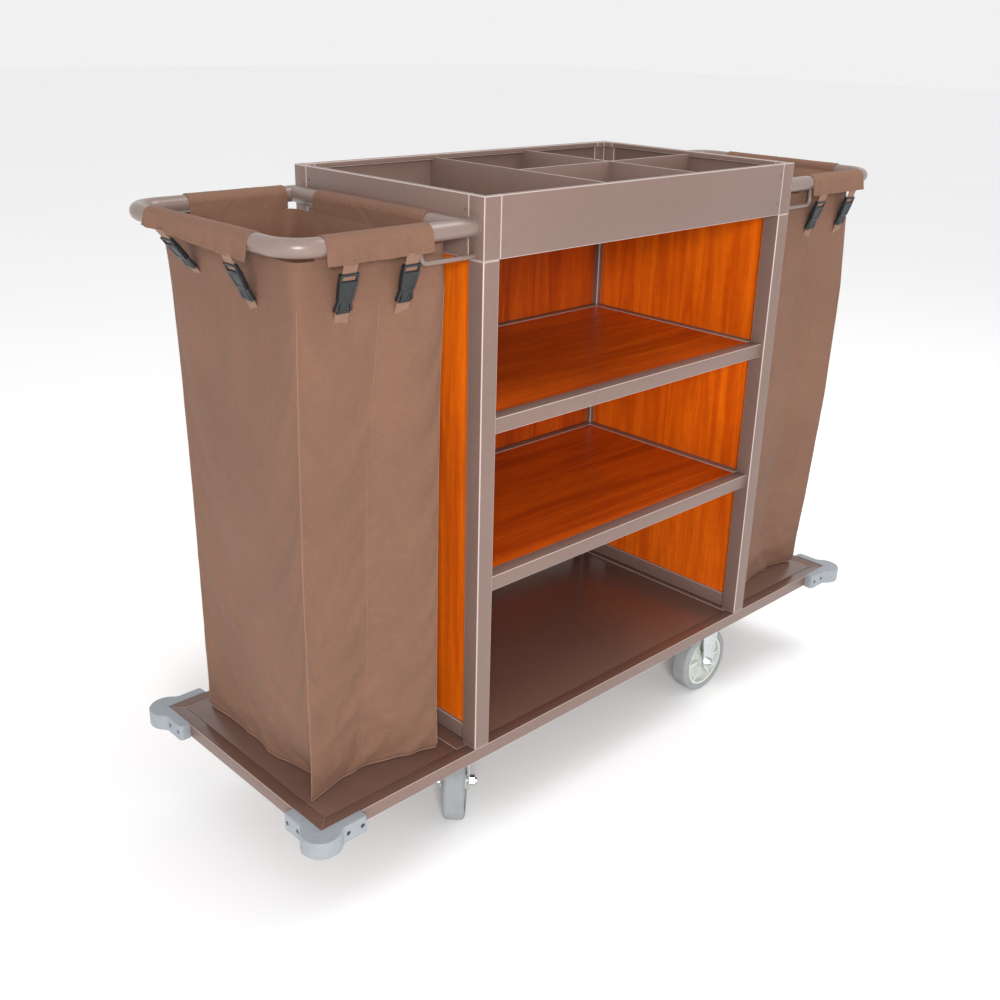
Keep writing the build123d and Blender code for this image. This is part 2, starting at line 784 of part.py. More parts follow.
def swivel_fork():
    """Swivelling fork: crown disc round the kingpin and two cheeks that trail."""
    crown_top = plate_bottom - race_height - swivel_gap
    crown_low = crown_top - fork_crown_thickness
    crown = Pos(0, 0, crown_low + fork_crown_thickness / 2) * Cylinder(crown_diameter / 2, fork_crown_thickness)
    bridge_end = fork_top_width / 2 + swivel_trail / 4
    bridge = block((-crown_diameter / 4, bridge_end), (-fork_half, fork_half), (crown_low, crown_top))
    bore = Pos(0, 0, crown_low) * Cylinder(kingpin_diameter / 2 + axle_clearance, 4 * fork_crown_thickness)
    legs = both_legs(swivel_trail, crown_top, swivel_trail / 4 + fork_top_width / 4 - crown_diameter / 8)
    return crown + bridge + legs - bore


def fixed_bracket(centre_y):
    """Fixed fork: plate and two cheeks in one pressing, drilled for its bolts."""
    legs = Pos(fixed_x, centre_y, 0) * both_legs(0, plate_bottom, 0)
    return plate(fixed_x, centre_y) + legs


def swivel_place(sign):
    """Frame of a swivel caster at its kingpin; sign is the cart side in Y."""
    return Pos(-swivel_x, sign * swivel_y, 0) * Rot(0, 0, -sign * swivel_heading)


def build_platform():
    side_rail = rim_rail(platform_length, half_depth)
    end_rail = rim_rail(platform_depth, half_length)
    save(group([side_rail, Rot(0, 0, 180) * side_rail]), "platform_side_rails")
    save(group([Rot(0, 0, 90) * end_rail, Rot(0, 0, -90) * end_rail]), "platform_end_rails")
    rim_inner = half_length - rim_width
    save(deck_panel(-rim_inner, -cross_rail_outer), "deck_panel_left")
    save(deck_panel(-cross_rail_inner, cross_rail_inner), "deck_panel_middle")
    save(deck_panel(cross_rail_outer, rim_inner), "deck_panel_right")
    save(group([deck_cross_rail(-1), deck_cross_rail(1)]), "deck_cross_rails")
    beams = []
    for x, y in ((-swivel_x, swivel_y), (fixed_x, fixed_y)):
        beams.append(drill(caster_beam(x), bolt_places(x, y) + bolt_places(x, -y)))
    save(group(beams), "caster_beams")
    corner = bumper()
    screws = group(bumper_screw_set())
    turned = Rot(0, 0, 180) * corner
    save(corner, "bumper_front_left")
    save(turned, "bumper_back_right")
    save(mirror(corner, Plane.YZ), "bumper_front_right")
    save(mirror(turned, Plane.YZ), "bumper_back_left")
    sets = [screws, mirror(screws, Plane.YZ), mirror(screws, Plane.XZ)]
    save(group(sets + [Rot(0, 0, 180) * screws]), "bumper_screws")


def build_cabinet():
    for side, side_name in ((-1, "left"), (1, "right")):
        save(post(side, False), f"post_front_{side_name}")
        save(post(side, True), f"post_back_{side_name}")
        save(side_panel(side), f"side_panel_{side_name}")
    save(back_panel(), "back_panel")
    side_rail = bottom_rail(2 * post_inner_y, post_x)
    back_rail = bottom_rail(2 * post_inner_x, post_y)
    sides = [Rot(0, 0, 90) * side_rail, Rot(0, 0, -90) * side_rail]
    save(group(sides + [back_rail]), "panel_bottom_rails")
    for name, height in (("lower", lower_shelf_height), ("upper", upper_shelf_height)):
        save(group(shelf_rails(deck_top + height)), f"{name}_shelf_rails")
        save(shelf_panel(deck_top + height), f"{name}_shelf_panel")


def build_tray():
    long_wall = tray_wall(cabinet_width - 2 * tray_corner_leg, half_depth)
    short_wall = tray_wall(platform_depth - 2 * tray_corner_leg, half_cabinet)
    save(long_wall, "tray_wall_front")
    save(Rot(0, 0, 180) * long_wall, "tray_wall_back")
    save(Rot(0, 0, -90) * short_wall, "tray_wall_left")
    save(Rot(0, 0, 90) * short_wall, "tray_wall_right")
    corner = tray_corner()
    corners = [corner, mirror(corner, Plane.YZ), mirror(corner, Plane.XZ), Rot(0, 0, 180) * corner]
    save(group(corners), "tray_corners")
    save(tray_floor(), "tray_floor")
    save(cross_divider(left_divider_x, False), "tray_divider_left")
    save(cross_divider(right_divider_x, True), "tray_divider_right")
    save(long_divider(), "tray_divider_long")


def build_bag_frames():
    tube = bag_tube()
    save(tube, "bag_tube_left")
    save(mirror(tube, Plane.YZ), "bag_tube_right")
    cross = cross_tube()
    save(group([cross, mirror(cross, Plane.YZ)]), "bag_cross_tubes")
    collars = group([collar(-tube_side_y), collar(tube_side_y)])
    save(group([collars, mirror(collars, Plane.YZ)]), "tube_collars")
    braces = group([brace(-tube_side_y), brace(tube_side_y)])
    save(group([braces, mirror(braces, Plane.YZ)]), "brace_rods")


def build_bags():
    left = bag()
    save(left, "bag_left")
    save(mirror(left, Plane.YZ), "bag_right")
    flaps = group(bag_flaps())
    save(flaps, "bag_flaps_left")
    save(mirror(flaps, Plane.YZ), "bag_flaps_right")
    straps = group(on_flaps(strap_pair()))
    save(group([straps, mirror(straps, Plane.YZ)]), "bag_straps")
    buckles = group(on_flaps([buckle()]))
    save(group([buckles, mirror(buckles, Plane.YZ)]), "bag_buckles")


def build_casters():
    save(group([swivel_plate(-swivel_y), swivel_plate(swivel_y)]), "swivel_plates")
    save(group([fixed_bracket(-fixed_y), fixed_bracket(fixed_y)]), "fixed_brackets")
    fixed_axle = axle(0)
    fixed_axles = []
    for sign, name in ((-1, "front"), (1, "back")):
        place = swivel_place(sign)
        save(place * swivel_fork(), f"swivel_fork_{name}")
        save(place * axle(swivel_trail), f"swivel_axle_{name}")
        save(place * hub(swivel_trail), f"swivel_hub_{name}")
        save(place * tyre(swivel_trail), f"swivel_tyre_{name}")
        fixed = Pos(fixed_x, sign * fixed_y, 0)
        fixed_axles.append(fixed * fixed_axle if sign < 0 else fixed * mirror(fixed_axle, Plane.XZ))
        save(fixed * hub(0), f"fixed_hub_{name}")
        save(fixed * tyre(0), f"fixed_tyre_{name}")
    save(group(fixed_axles), "fixed_axles")
    spots = []
    for x, y in ((-swivel_x, swivel_y), (fixed_x, fixed_y)):
        spots += bolt_places(x, y) + bolt_places(x, -y)
    save(group([bolt(x, y) for x, y in spots]), "caster_bolts")


os.makedirs("parts", exist_ok=True)
build_platform()
build_cabinet()
build_tray()
build_bag_frames()
build_bags()
build_casters()
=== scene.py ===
"""Housekeeping cart: finishes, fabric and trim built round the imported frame."""

import json
import logging
import math
from collections.abc import Callable
from dataclasses import dataclass, replace
from enum import Enum
from functools import lru_cache

import bpy
import numpy as np
from mathutils import Matrix, Vector, noise

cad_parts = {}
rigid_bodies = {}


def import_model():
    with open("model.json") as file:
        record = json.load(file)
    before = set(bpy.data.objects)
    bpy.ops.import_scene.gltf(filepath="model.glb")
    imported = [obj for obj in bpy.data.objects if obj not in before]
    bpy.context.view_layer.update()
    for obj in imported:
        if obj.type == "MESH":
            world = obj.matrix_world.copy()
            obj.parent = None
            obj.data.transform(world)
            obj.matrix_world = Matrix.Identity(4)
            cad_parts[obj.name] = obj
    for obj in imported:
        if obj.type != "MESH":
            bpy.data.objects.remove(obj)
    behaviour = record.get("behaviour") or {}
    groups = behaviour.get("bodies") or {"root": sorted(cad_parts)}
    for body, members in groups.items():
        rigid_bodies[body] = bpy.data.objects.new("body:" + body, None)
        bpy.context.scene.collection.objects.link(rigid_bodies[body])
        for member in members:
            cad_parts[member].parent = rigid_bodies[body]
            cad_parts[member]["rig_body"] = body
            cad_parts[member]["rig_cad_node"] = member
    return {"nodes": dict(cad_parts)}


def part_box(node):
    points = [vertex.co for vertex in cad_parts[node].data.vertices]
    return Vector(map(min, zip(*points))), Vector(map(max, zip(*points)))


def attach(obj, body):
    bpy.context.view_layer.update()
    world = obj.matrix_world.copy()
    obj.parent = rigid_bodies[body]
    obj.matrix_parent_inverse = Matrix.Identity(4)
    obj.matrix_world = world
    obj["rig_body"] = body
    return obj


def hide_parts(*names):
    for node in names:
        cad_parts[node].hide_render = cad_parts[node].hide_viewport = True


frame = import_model()
log = logging.getLogger("housekeeping_cart")

Colour = tuple[float, float, float]


@lru_cache(maxsize=None)
def box_of(node: str) -> tuple[Vector, Vector]:
    """The lowest and highest corners of a frame node, worked out once."""
    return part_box(node)


class End(Enum):
    """The two ends of the cart, as the sign of X."""

    LEFT = -1
    RIGHT = 1


class Grain(Enum):
    """The direction that wood grain runs in."""

    ALONG_X = (1.6, 30.0, 30.0)
    ALONG_Z = (30.0, 30.0, 1.6)


# ---------------------------------------------------------------- node trees


class Sheet:
    """Adds and links shader nodes in one tree."""

    def __init__(self, tree: bpy.types.NodeTree) -> None:
        """Keep the tree that is drawn on."""
        self.tree = tree

    def add(self, kind: str, values: dict | None = None, **settings: object) -> bpy.types.Node:
        """Add a node.

        Args:
            kind: The node's type name.
            values: Socket name or index to a number, colour or another socket.
            settings: Properties of the node itself.

        Returns:
            The new node.
        """
        node = self.tree.nodes.new(kind)
        for key, value in settings.items():
            setattr(node, key, value)
        for key, value in (values or {}).items():
            if isinstance(value, bpy.types.NodeSocket):
                self.tree.links.new(value, node.inputs[key])
            else:
                node.inputs[key].default_value = value
        return node

    def noise(self, vector: object, scale: object, detail: float = 2.0, **more: float) -> bpy.types.NodeSocket:
        """Add a noise texture and return its value."""
        values = {"Vector": vector, "Scale": scale, "Detail": detail, **more}
        return self.add("ShaderNodeTexNoise", values).outputs[0]

    def group(self, tree: bpy.types.NodeTree, values: dict) -> bpy.types.Node:
        """Add one of the shared groups."""
        return self.add("ShaderNodeGroup", values, node_tree=tree)

    def feed(self, source: bpy.types.NodeSocket, target: bpy.types.Node, socket: str) -> None:
        """Link a socket to a named input of a node."""
        self.tree.links.new(source, target.inputs[socket])

    def maths(self, operation: str, first: object, second: object = 0.0) -> bpy.types.NodeSocket:
        """Add a Math node and return its result."""
        return self.add("ShaderNodeMath", {0: first, 1: second}, operation=operation).outputs[0]

    def vectors(self, operation: str, first: object, second: object) -> bpy.types.NodeSocket:
        """Add a Vector Math node and return its result."""
        return self.add("ShaderNodeVectorMath", {0: first, 1: second}, operation=operation).outputs[0]

    def mix(self, factor: object, first: object, second: object, blend: str = "MIX") -> bpy.types.NodeSocket:
        """Mix two colours and return the result."""
        node = self.add("ShaderNodeMix", {0: factor, 6: first, 7: second}, data_type="RGBA", blend_type=blend)
        return node.outputs[2]

    def ramp(self, factor: object, low: float, high: float) -> bpy.types.NodeSocket:
        """Stretch a value between two limits to 0..1, smoothly."""
        node = self.add(
            "ShaderNodeMapRange",
            {"Value": factor, "From Min": low, "From Max": high},
            interpolation_type="SMOOTHSTEP",
        )
        return node.outputs[0]


def rgba(colour: Colour, factor: float = 1.0) -> tuple[float, float, float, float]:
    """A linear colour times a factor, with full alpha."""
    return (colour[0] * factor, colour[1] * factor, colour[2] * factor, 1.0)


class Effects:
    """Shader node groups that several finishes share, each built once."""

    def __init__(self) -> None:
        """Build the groups."""
        self.drift = self._drift()
        self.grime = self._grime()
        self.weave = self._weave()
        self.grain = self._grain()

    @staticmethod
    def _group(
        name: str, inputs: list[tuple], outputs: list[tuple]
    ) -> tuple[bpy.types.NodeTree, Sheet, dict, bpy.types.Node]:
        """Start a group with named sockets.

        Args:
            name: The group's name.
            inputs: (name, socket type, default) of each input.
            outputs: (name, socket type) of each output.

        Returns:
            The tree, its sheet, its input sockets by name and its output node.
        """
        tree = bpy.data.node_groups.new(name, "ShaderNodeTree")
        for label, kind, default in inputs:
            socket = tree.interface.new_socket(label, in_out="INPUT", socket_type=kind)
            if default is not None:
                socket.default_value = default
        for label, kind in outputs:
            tree.interface.new_socket(label, in_out="OUTPUT", socket_type=kind)
        entry = tree.nodes.new("NodeGroupInput")
        leave = tree.nodes.new("NodeGroupOutput")
        return tree, Sheet(tree), {socket.name: socket for socket in entry.outputs}, leave

    def _drift(self) -> bpy.types.NodeTree:
        """Slow change of tone over a surface, with finer mottling."""
        tree, sheet, given, leave = self._group(
            "tone_drift",
            [
                ("Vector", "NodeSocketVector", None),
                ("Colour", "NodeSocketColor", (0.5, 0.5, 0.5, 1)),
                ("Scale", "NodeSocketFloat", 3.0),
                ("Amount", "NodeSocketFloat", 0.1),
            ],
            [("Colour", "NodeSocketColor"), ("Mask", "NodeSocketFloat")],
        )
        slow = sheet.noise(given["Vector"], given["Scale"])
        fine = sheet.noise(given["Vector"], sheet.maths("MULTIPLY", given["Scale"], 17.0), 4.0)
        both = sheet.maths("ADD", slow, sheet.maths("MULTIPLY", fine, 0.5))
        mask = sheet.ramp(both, 0.45, 1.05)
        centred = sheet.maths("SUBTRACT", mask, 0.5)
        swing = sheet.maths("MULTIPLY", given["Amount"], 2.0)
        gain = sheet.maths("ADD", 1.0, sheet.maths("MULTIPLY", centred, swing))
        tone = sheet.add("ShaderNodeCombineColor", {0: gain, 1: gain, 2: gain})
        colour = sheet.mix(1.0, given["Colour"], tone.outputs[0], "MULTIPLY")
        tree.links.new(colour, leave.inputs["Colour"])
        tree.links.new(mask, leave.inputs["Mask"])
        return tree

    def _grime(self) -> bpy.types.NodeTree:
        """Dust that thickens towards a low height, broken up by noise."""
        tree, sheet, given, leave = self._group(
            "low_dust",
            [
                ("Vector", "NodeSocketVector", None),
                ("Clean above", "NodeSocketFloat", 0.3),
                ("Dirty below", "NodeSocketFloat", 0.0),
            ],
            [("Mask", "NodeSocketFloat")],
        )
        place = sheet.add("ShaderNodeSeparateXYZ", {0: given["Vector"]})
        limits = {"From Min": given["Clean above"], "From Max": given["Dirty below"]}
        height = sheet.add("ShaderNodeMapRange", {"Value": place.outputs[2], **limits})
        patchy = sheet.ramp(sheet.noise(given["Vector"], 34.0, 6.0), 0.42, 0.72)
        mask = sheet.maths("MULTIPLY", height.outputs[0], patchy)
        tree.links.new(mask, leave.inputs["Mask"])
        return tree

    def _weave(self) -> bpy.types.NodeTree:
        """Plain weave in surface metres: a height, and a mask of the raised threads."""
        tree, sheet, given, leave = self._group(
            "plain_weave",
            [
                ("Vector", "NodeSocketVector", None),
                ("Threads per metre", "NodeSocketFloat", 1100.0),
            ],
            [("Height", "NodeSocketFloat"), ("Mask", "NodeSocketFloat")],
        )
        place = sheet.add("ShaderNodeSeparateXYZ", {0: given["Vector"]})
        turn = sheet.maths("MULTIPLY", given["Threads per metre"], math.pi)
        warp = sheet.maths("SINE", sheet.maths("MULTIPLY", place.outputs[0], turn))
        weft = sheet.maths("SINE", sheet.maths("MULTIPLY", place.outputs[1], turn))
        crossed = sheet.maths("MULTIPLY", warp, weft)
        drawn_out = sheet.vectors("MULTIPLY", given["Vector"], (60.0, 900.0, 1.0))
        slub = sheet.noise(drawn_out, 1.0, 3.0)
        height = sheet.maths("ADD", sheet.maths("MULTIPLY", crossed, 0.5), slub)
        tree.links.new(height, leave.inputs["Height"])
        tree.links.new(sheet.ramp(height, 0.0, 1.0), leave.inputs["Mask"])
        return tree

    def _grain(self) -> bpy.types.NodeTree:
        """Wood grain: broad figure, fine fibres and dark pores."""
        tree, sheet, given, leave = self._group(
            "wood_grain",
            [("Vector", "NodeSocketVector", None)],
            [("Figure", "NodeSocketFloat"), ("Fibres", "NodeSocketFloat")],
        )
        warp = sheet.add("ShaderNodeTexNoise", {"Vector": given["Vector"], "Scale": 0.35, "Detail": 3.0})
        shift = sheet.vectors("MULTIPLY", warp.outputs[1], (1.6, 1.6, 1.6))
        bent = sheet.vectors("ADD", given["Vector"], shift)
        figure = sheet.noise(bent, 0.9, 5.0, Distortion=1.1, Roughness=0.6)
        tree.links.new(figure, leave.inputs["Figure"])
        tree.links.new(sheet.noise(given["Vector"], 9.0, 4.0), leave.inputs["Fibres"])
        return tree


# ---------------------------------------------------------------- finishes


@dataclass(frozen=True)
class Finish:
    """What every finish has: a material name and a record slot."""

    name: str
    slot: str

    def start(self) -> tuple[bpy.types.Material, Sheet, bpy.types.Node, bpy.types.NodeSocket]:
        """Make an empty material.

        Returns:
            The material, its sheet, its Principled node and Object coordinates.
        """
        material = bpy.data.materials.new(self.name)
        material.use_nodes = True
        sheet = Sheet(material.node_tree)
        shader = material.node_tree.nodes["Principled BSDF"]
        place = sheet.add("ShaderNodeTexCoord").outputs["Object"]
        return material, sheet, shader, place

    @staticmethod
    def bump(
        sheet: Sheet, shader: bpy.types.Node, height: bpy.types.NodeSocket, depth: float, strength: float
    ) -> None:
        """Feed a height into the shader's normal.

        Args:
            sheet: The material's sheet.
            shader: Its Principled node.
            height: The height, from 0 to about 1.
            depth: What a height of 1 stands for, in metres.
            strength: How much of it shows.
        """
        node = sheet.add("ShaderNodeBump", {"Height": height, "Distance": depth, "Strength": strength})
        sheet.feed(node.outputs[0], shader, "Normal")


@dataclass(frozen=True)
class PowderCoat(Finish):
    """Baked powder coat on metal, with a fine orange-peel skin."""

    colour: Colour
    roughness: float = 0.42
    amount: float = 0.06
    peel: float = 0.12
    variation: float = 0.05

    def material(self, effects: Effects) -> bpy.types.Material:
        """Build the material."""
        material, sheet, shader, place = self.start()
        drift = sheet.group(
            effects.drift, {"Vector": place, "Colour": rgba(self.colour), "Scale": 2.6, "Amount": self.amount}
        )
        flecks = sheet.maths("MULTIPLY", sheet.ramp(sheet.noise(place, 1500.0), 0.35, 0.8), 0.22)
        colour = sheet.mix(flecks, drift.outputs["Colour"], rgba(self.colour, 1.5))
        sheet.feed(colour, shader, "Base Color")
        patches = sheet.maths("MULTIPLY", drift.outputs["Mask"], self.variation)
        rough = sheet.maths("ADD", self.roughness, patches)
        sheet.feed(rough, shader, "Roughness")
        shader.inputs["Coat Weight"].default_value = 0.12
        shader.inputs["Coat Roughness"].default_value = 0.3
        self.bump(sheet, shader, sheet.noise(place, 620.0), 0.0004, self.peel)
        return material


@dataclass(frozen=True)
class Laminate(Finish):
    """Cherry-coloured wood laminate under a satin film."""

    light: Colour
    dark: Colour
    grain: Grain

    def material(self, effects: Effects) -> bpy.types.Material:
        """Build the material."""
        material, sheet, shader, place = self.start()
        turned = sheet.add("ShaderNodeMapping", {"Vector": place, "Scale": self.grain.value})
        grain = sheet.group(effects.grain, {"Vector": turned.outputs[0]})
        figure = sheet.ramp(grain.outputs["Figure"], 0.32, 0.68)
        colour = sheet.mix(figure, rgba(self.dark), rgba(self.light))
        fibres = sheet.ramp(grain.outputs["Fibres"], 0.3, 0.75)
        colour = sheet.mix(sheet.maths("MULTIPLY", fibres, 0.3), colour, rgba(self.dark, 0.8))
        drift = sheet.group(effects.drift, {"Vector": place, "Colour": colour, "Scale": 3.1, "Amount": 0.12})
        sheet.feed(drift.outputs["Colour"], shader, "Base Color")
        rough = sheet.maths("ADD", 0.3, sheet.maths("MULTIPLY", fibres, 0.12))
        sheet.feed(rough, shader, "Roughness")
        shader.inputs["Specular IOR Level"].default_value = 0.35
        shader.inputs["Coat Weight"].default_value = 0.1
        shader.inputs["Coat Roughness"].default_value = 0.25
        self.bump(sheet, shader, grain.outputs["Fibres"], 0.0003, 0.25)
        return material


@dataclass(frozen=True)
class Cloth(Finish):
    """Woven fabric that reads the piece's own UV map, laid out in metres."""

    colour: Colour
    threads: float = 620.0
    amount: float = 0.07
    relief: float = 0.45
    sheen: float = 0.03
    crumple: float = 14.0

    def material(self, effects: Effects) -> bpy.types.Material:
        """Build the material."""
        material, sheet, shader, place = self.start()
        laid = sheet.add("ShaderNodeUVMap", uv_map="UVMap").outputs[0]
        weave = sheet.group(effects.weave, {"Vector": laid, "Threads per metre": self.threads})
        # Raised threads lighter and low threads darker: painted light and shade of the weave relief.
        tone = sheet.mix(weave.outputs["Mask"], rgba(self.colour, 0.86), rgba(self.colour, 1.12))
        drift = sheet.group(
            effects.drift, {"Vector": place, "Colour": tone, "Scale": 5.0, "Amount": self.amount}
        )
        sheet.feed(drift.outputs["Colour"], shader, "Base Color")
        rough = sheet.maths("ADD", 0.72, sheet.maths("MULTIPLY", weave.outputs["Mask"], 0.16))
        sheet.feed(rough, shader, "Roughness")
        shader.inputs["Sheen Weight"].default_value = self.sheen
        shader.inputs["Sheen Roughness"].default_value = 0.5
        shader.inputs["Specular IOR Level"].default_value = 0.25
        crumple = sheet.noise(place, 16.0, 4.0, Distortion=1.2)
        slack = sheet.maths("MULTIPLY", crumple, self.crumple)
        height = sheet.maths("ADD", weave.outputs["Height"], slack)
        self.bump(sheet, shader, height, 0.0005, self.relief)
        return material


@dataclass(frozen=True)
class Moulded(Finish):
    """Moulded plastic or rubber, with faint mottling, scuffs and floor dust."""

    colour: Colour
    roughness: float
    scuff: Colour
    scuff_amount: float = 0.3
    skin: float = 0.15
    dusty_below: float = 0.25

    def material(self, effects: Effects) -> bpy.types.Material:
        """Build the material."""
        material, sheet, shader, place = self.start()
        drift = sheet.group(
            effects.drift, {"Vector": place, "Colour": rgba(self.colour), "Scale": 9.0, "Amount": 0.08}
        )
        stretched = sheet.add("ShaderNodeMapping", {"Vector": place, "Scale": (60, 60, 420)})
        worn = sheet.ramp(sheet.noise(stretched.outputs[0], 1.0, 5.0), 0.6, 0.75)
        grime = sheet.group(
            effects.grime,
            {"Vector": place, "Clean above": self.dusty_below, "Dirty below": self.dusty_below - 0.3},
        )
        mask = sheet.maths("MAXIMUM", worn, grime.outputs[0])
        scuffed = sheet.maths("MULTIPLY", mask, self.scuff_amount)
        colour = sheet.mix(scuffed, drift.outputs["Colour"], rgba(self.scuff))
        sheet.feed(colour, shader, "Base Color")
        rough = sheet.maths("ADD", self.roughness, sheet.maths("MULTIPLY", mask, 0.15))
        sheet.feed(rough, shader, "Roughness")
        self.bump(sheet, shader, sheet.noise(place, 900.0), 0.0003, self.skin)
        return material


@dataclass(frozen=True)
class Plated(Finish):
    """Bright zinc plate with faint brushed streaks and dulled patches."""

    colour: Colour
    roughness: float = 0.3

    def material(self, effects: Effects) -> bpy.types.Material:
        """Build the material."""
        material, sheet, shader, place = self.start()
        drift = sheet.group(
            effects.drift, {"Vector": place, "Colour": rgba(self.colour), "Scale": 14.0, "Amount": 0.14}
        )
        sheet.feed(drift.outputs["Colour"], shader, "Base Color")
        shader.inputs["Metallic"].default_value = 1.0
        rough = sheet.maths("ADD", self.roughness - 0.08, sheet.maths("MULTIPLY", drift.outputs["Mask"], 0.2))
        sheet.feed(rough, shader, "Roughness")
        stretched = sheet.add("ShaderNodeMapping", {"Vector": place, "Scale": (900, 900, 60)})
        self.bump(sheet, shader, sheet.noise(stretched.outputs[0], 1.0), 0.0002, 0.2)
        return material


class Finishes:
    """The cart's materials, by the part of the cart that they dress."""

    def __init__(self, effects: Effects) -> None:
        """Build every material once."""
        taupe: Colour = (0.176, 0.112, 0.092)
        brown: Colour = (0.186, 0.094, 0.060)
        cherry_light: Colour = (0.88, 0.17, 0.004)
        cherry_dark: Colour = (0.60, 0.082, 0.002)
        # Darker cherry tones: the shelves' laminate, also given to the back panel as painted shade.
        darker_cherry_light: Colour = (0.58, 0.092, 0.003)
        darker_cherry_dark: Colour = (0.36, 0.042, 0.002)
        wanted: dict[str, Finish] = {
            "profile": PowderCoat("taupe_powder_coat", "frame_profile", taupe),
            # Paler coating for broken edges and thin divider tops: painted highlight.
            "edge": PowderCoat("rubbed_edges", "frame_profile", (0.45, 0.36, 0.33), 0.3),
            "tube": PowderCoat("tube_powder_coat", "tube_metal", (0.19, 0.135, 0.115), 0.28, peel=0.05),
            "deck": PowderCoat("deck_coating", "deck_sheet", (0.118, 0.063, 0.047), 0.24, 0.05, 0.06, 0.03),
            "upright_wood": Laminate(
                "cherry_upright", "wood_laminate", cherry_light, cherry_dark, Grain.ALONG_Z
            ),
            # The back panel's darker laminate is painted shade: the same cherry, darkened where it stands in
            # shade.
            "shaded_back_wood": Laminate("cherry_back", "wood_laminate", darker_cherry_light, darker_cherry_dark, Grain.ALONG_Z),
            "shelf_wood": Laminate("cherry_shelf", "wood_laminate", darker_cherry_light, darker_cherry_dark, Grain.ALONG_X),
            "bag": Cloth("bag_canvas", "bag_fabric", brown),
            "webbing": Cloth("strap_webbing", "webbing", (0.24, 0.13, 0.085), 520.0, 0.08, 0.8, 0.1),
            "thread": Cloth("sewing_thread", "webbing", (0.26, 0.145, 0.098), 900.0, 0.05, 0.5, 0.1),
            # Cords paler than the bag: real piping at the base and corner seams, but their pale tone, like the
            # cords on the pressed folds, is painted highlight.
            "piping": Cloth("seam_piping", "bag_fabric", (0.245, 0.132, 0.088), 900.0, 0.08, 0.4),
            "buckle": Moulded(
                "buckle_moulding", "buckle_plastic", (0.009, 0.011, 0.014), 0.42, (0.06, 0.06, 0.06), 0.1
            ),
            "bumper": Moulded(
                "bumper_moulding", "bumper_plastic", (0.27, 0.295, 0.32), 0.42, (0.16, 0.155, 0.15), 0.2
            ),
            "hub": Moulded("hub_moulding", "hub_plastic", (0.58, 0.60, 0.56), 0.34, (0.25, 0.24, 0.22), 0.3),
            "tread": Moulded(
                "tread_rubber", "tyre_rubber", (0.27, 0.28, 0.29), 0.6, (0.16, 0.155, 0.15), 0.5, 0.3
            ),
            "zinc": Plated("zinc_plate", "zinc_steel", (0.66, 0.69, 0.69)),
            "screw": Plated("dark_screw", "zinc_steel", (0.10, 0.10, 0.10), 0.4),
        }
        self.slots = {key: finish.slot for key, finish in wanted.items()}
        self.materials = {key: finish.material(effects) for key, finish in wanted.items()}

    def dress(self, piece: bpy.types.Object, key: str) -> None:
        """Give a whole piece one material."""
        piece.data.materials.clear()
        piece.data.materials.append(self.materials[key])


# ---------------------------------------------------------------- modelling


def clear_selection() -> None:
    """Leave edit mode and deselect everything."""
    if bpy.context.object and bpy.context.object.mode != "OBJECT":
        bpy.ops.object.mode_set(mode="OBJECT")
    bpy.ops.object.select_all(action="DESELECT")


def activate(piece: bpy.types.Object) -> None:
    """Make a piece the only selected and active one."""
    clear_selection()
    piece.select_set(True)
    bpy.context.view_layer.objects.active = piece


def settle(piece: bpy.types.Object) -> None:
    """Apply a piece's place, turn and size to its mesh."""
    activate(piece)
    bpy.ops.object.transform_apply(location=True, rotation=True, scale=True)


def modify(piece: bpy.types.Object, kind: str, **settings: object) -> None:
    """Add a modifier with its settings and apply it."""
    activate(piece)
    modifier = piece.modifiers.new(kind.lower(), kind)
    for key, value in settings.items():
        setattr(modifier, key, value)
    bpy.ops.object.modifier_apply(modifier=modifier.name)


def smooth(piece: bpy.types.Object, degrees: float = 35.0) -> None:
    """Shade smooth, with creases past an angle."""
    activate(piece)
    bpy.ops.object.shade_smooth_by_angle(angle=math.radians(degrees))


def join(pieces: list[bpy.types.Object], name: str) -> bpy.types.Object:
    """Join several pieces into the first, under a new name."""
    clear_selection()
    for piece in pieces:
        piece.select_set(True)
    bpy.context.view_layer.objects.active = pieces[0]
    bpy.ops.object.join()
    pieces[0].name = name
    return pieces[0]


def copy_of(piece: bpy.types.Object, name: str, place: Matrix) -> bpy.types.Object:
    """A copy with its own mesh, moved by a matrix that is put into the mesh."""
    twin = piece.copy()
    twin.data = piece.data.copy()
    twin.name = name
    bpy.context.scene.collection.objects.link(twin)
    twin.data.transform(place)
    if place.determinant() < 0:
        twin.data.flip_normals()
    return twin


def box_piece(name: str, size: Vector, centre: Vector, bevel: float) -> bpy.types.Object:
    """A block whose edges are rounded in edit mode.

    Args:
        name: The piece's name.
        size: Its three lengths.
        centre: Its middle.
        bevel: The radius of its edges.

    Returns:
        The new piece, with its place in its mesh.
    """
    clear_selection()
    bpy.ops.mesh.primitive_cube_add(size=1.0, location=centre, scale=size)
    piece = bpy.context.object
    piece.name = name
    settle(piece)
    bpy.ops.object.mode_set(mode="EDIT")
    bpy.ops.mesh.select_all(action="SELECT")
    bpy.ops.mesh.bevel(offset=bevel, segments=2, affect="EDGES")
    bpy.ops.object.mode_set(mode="OBJECT")
    return piece


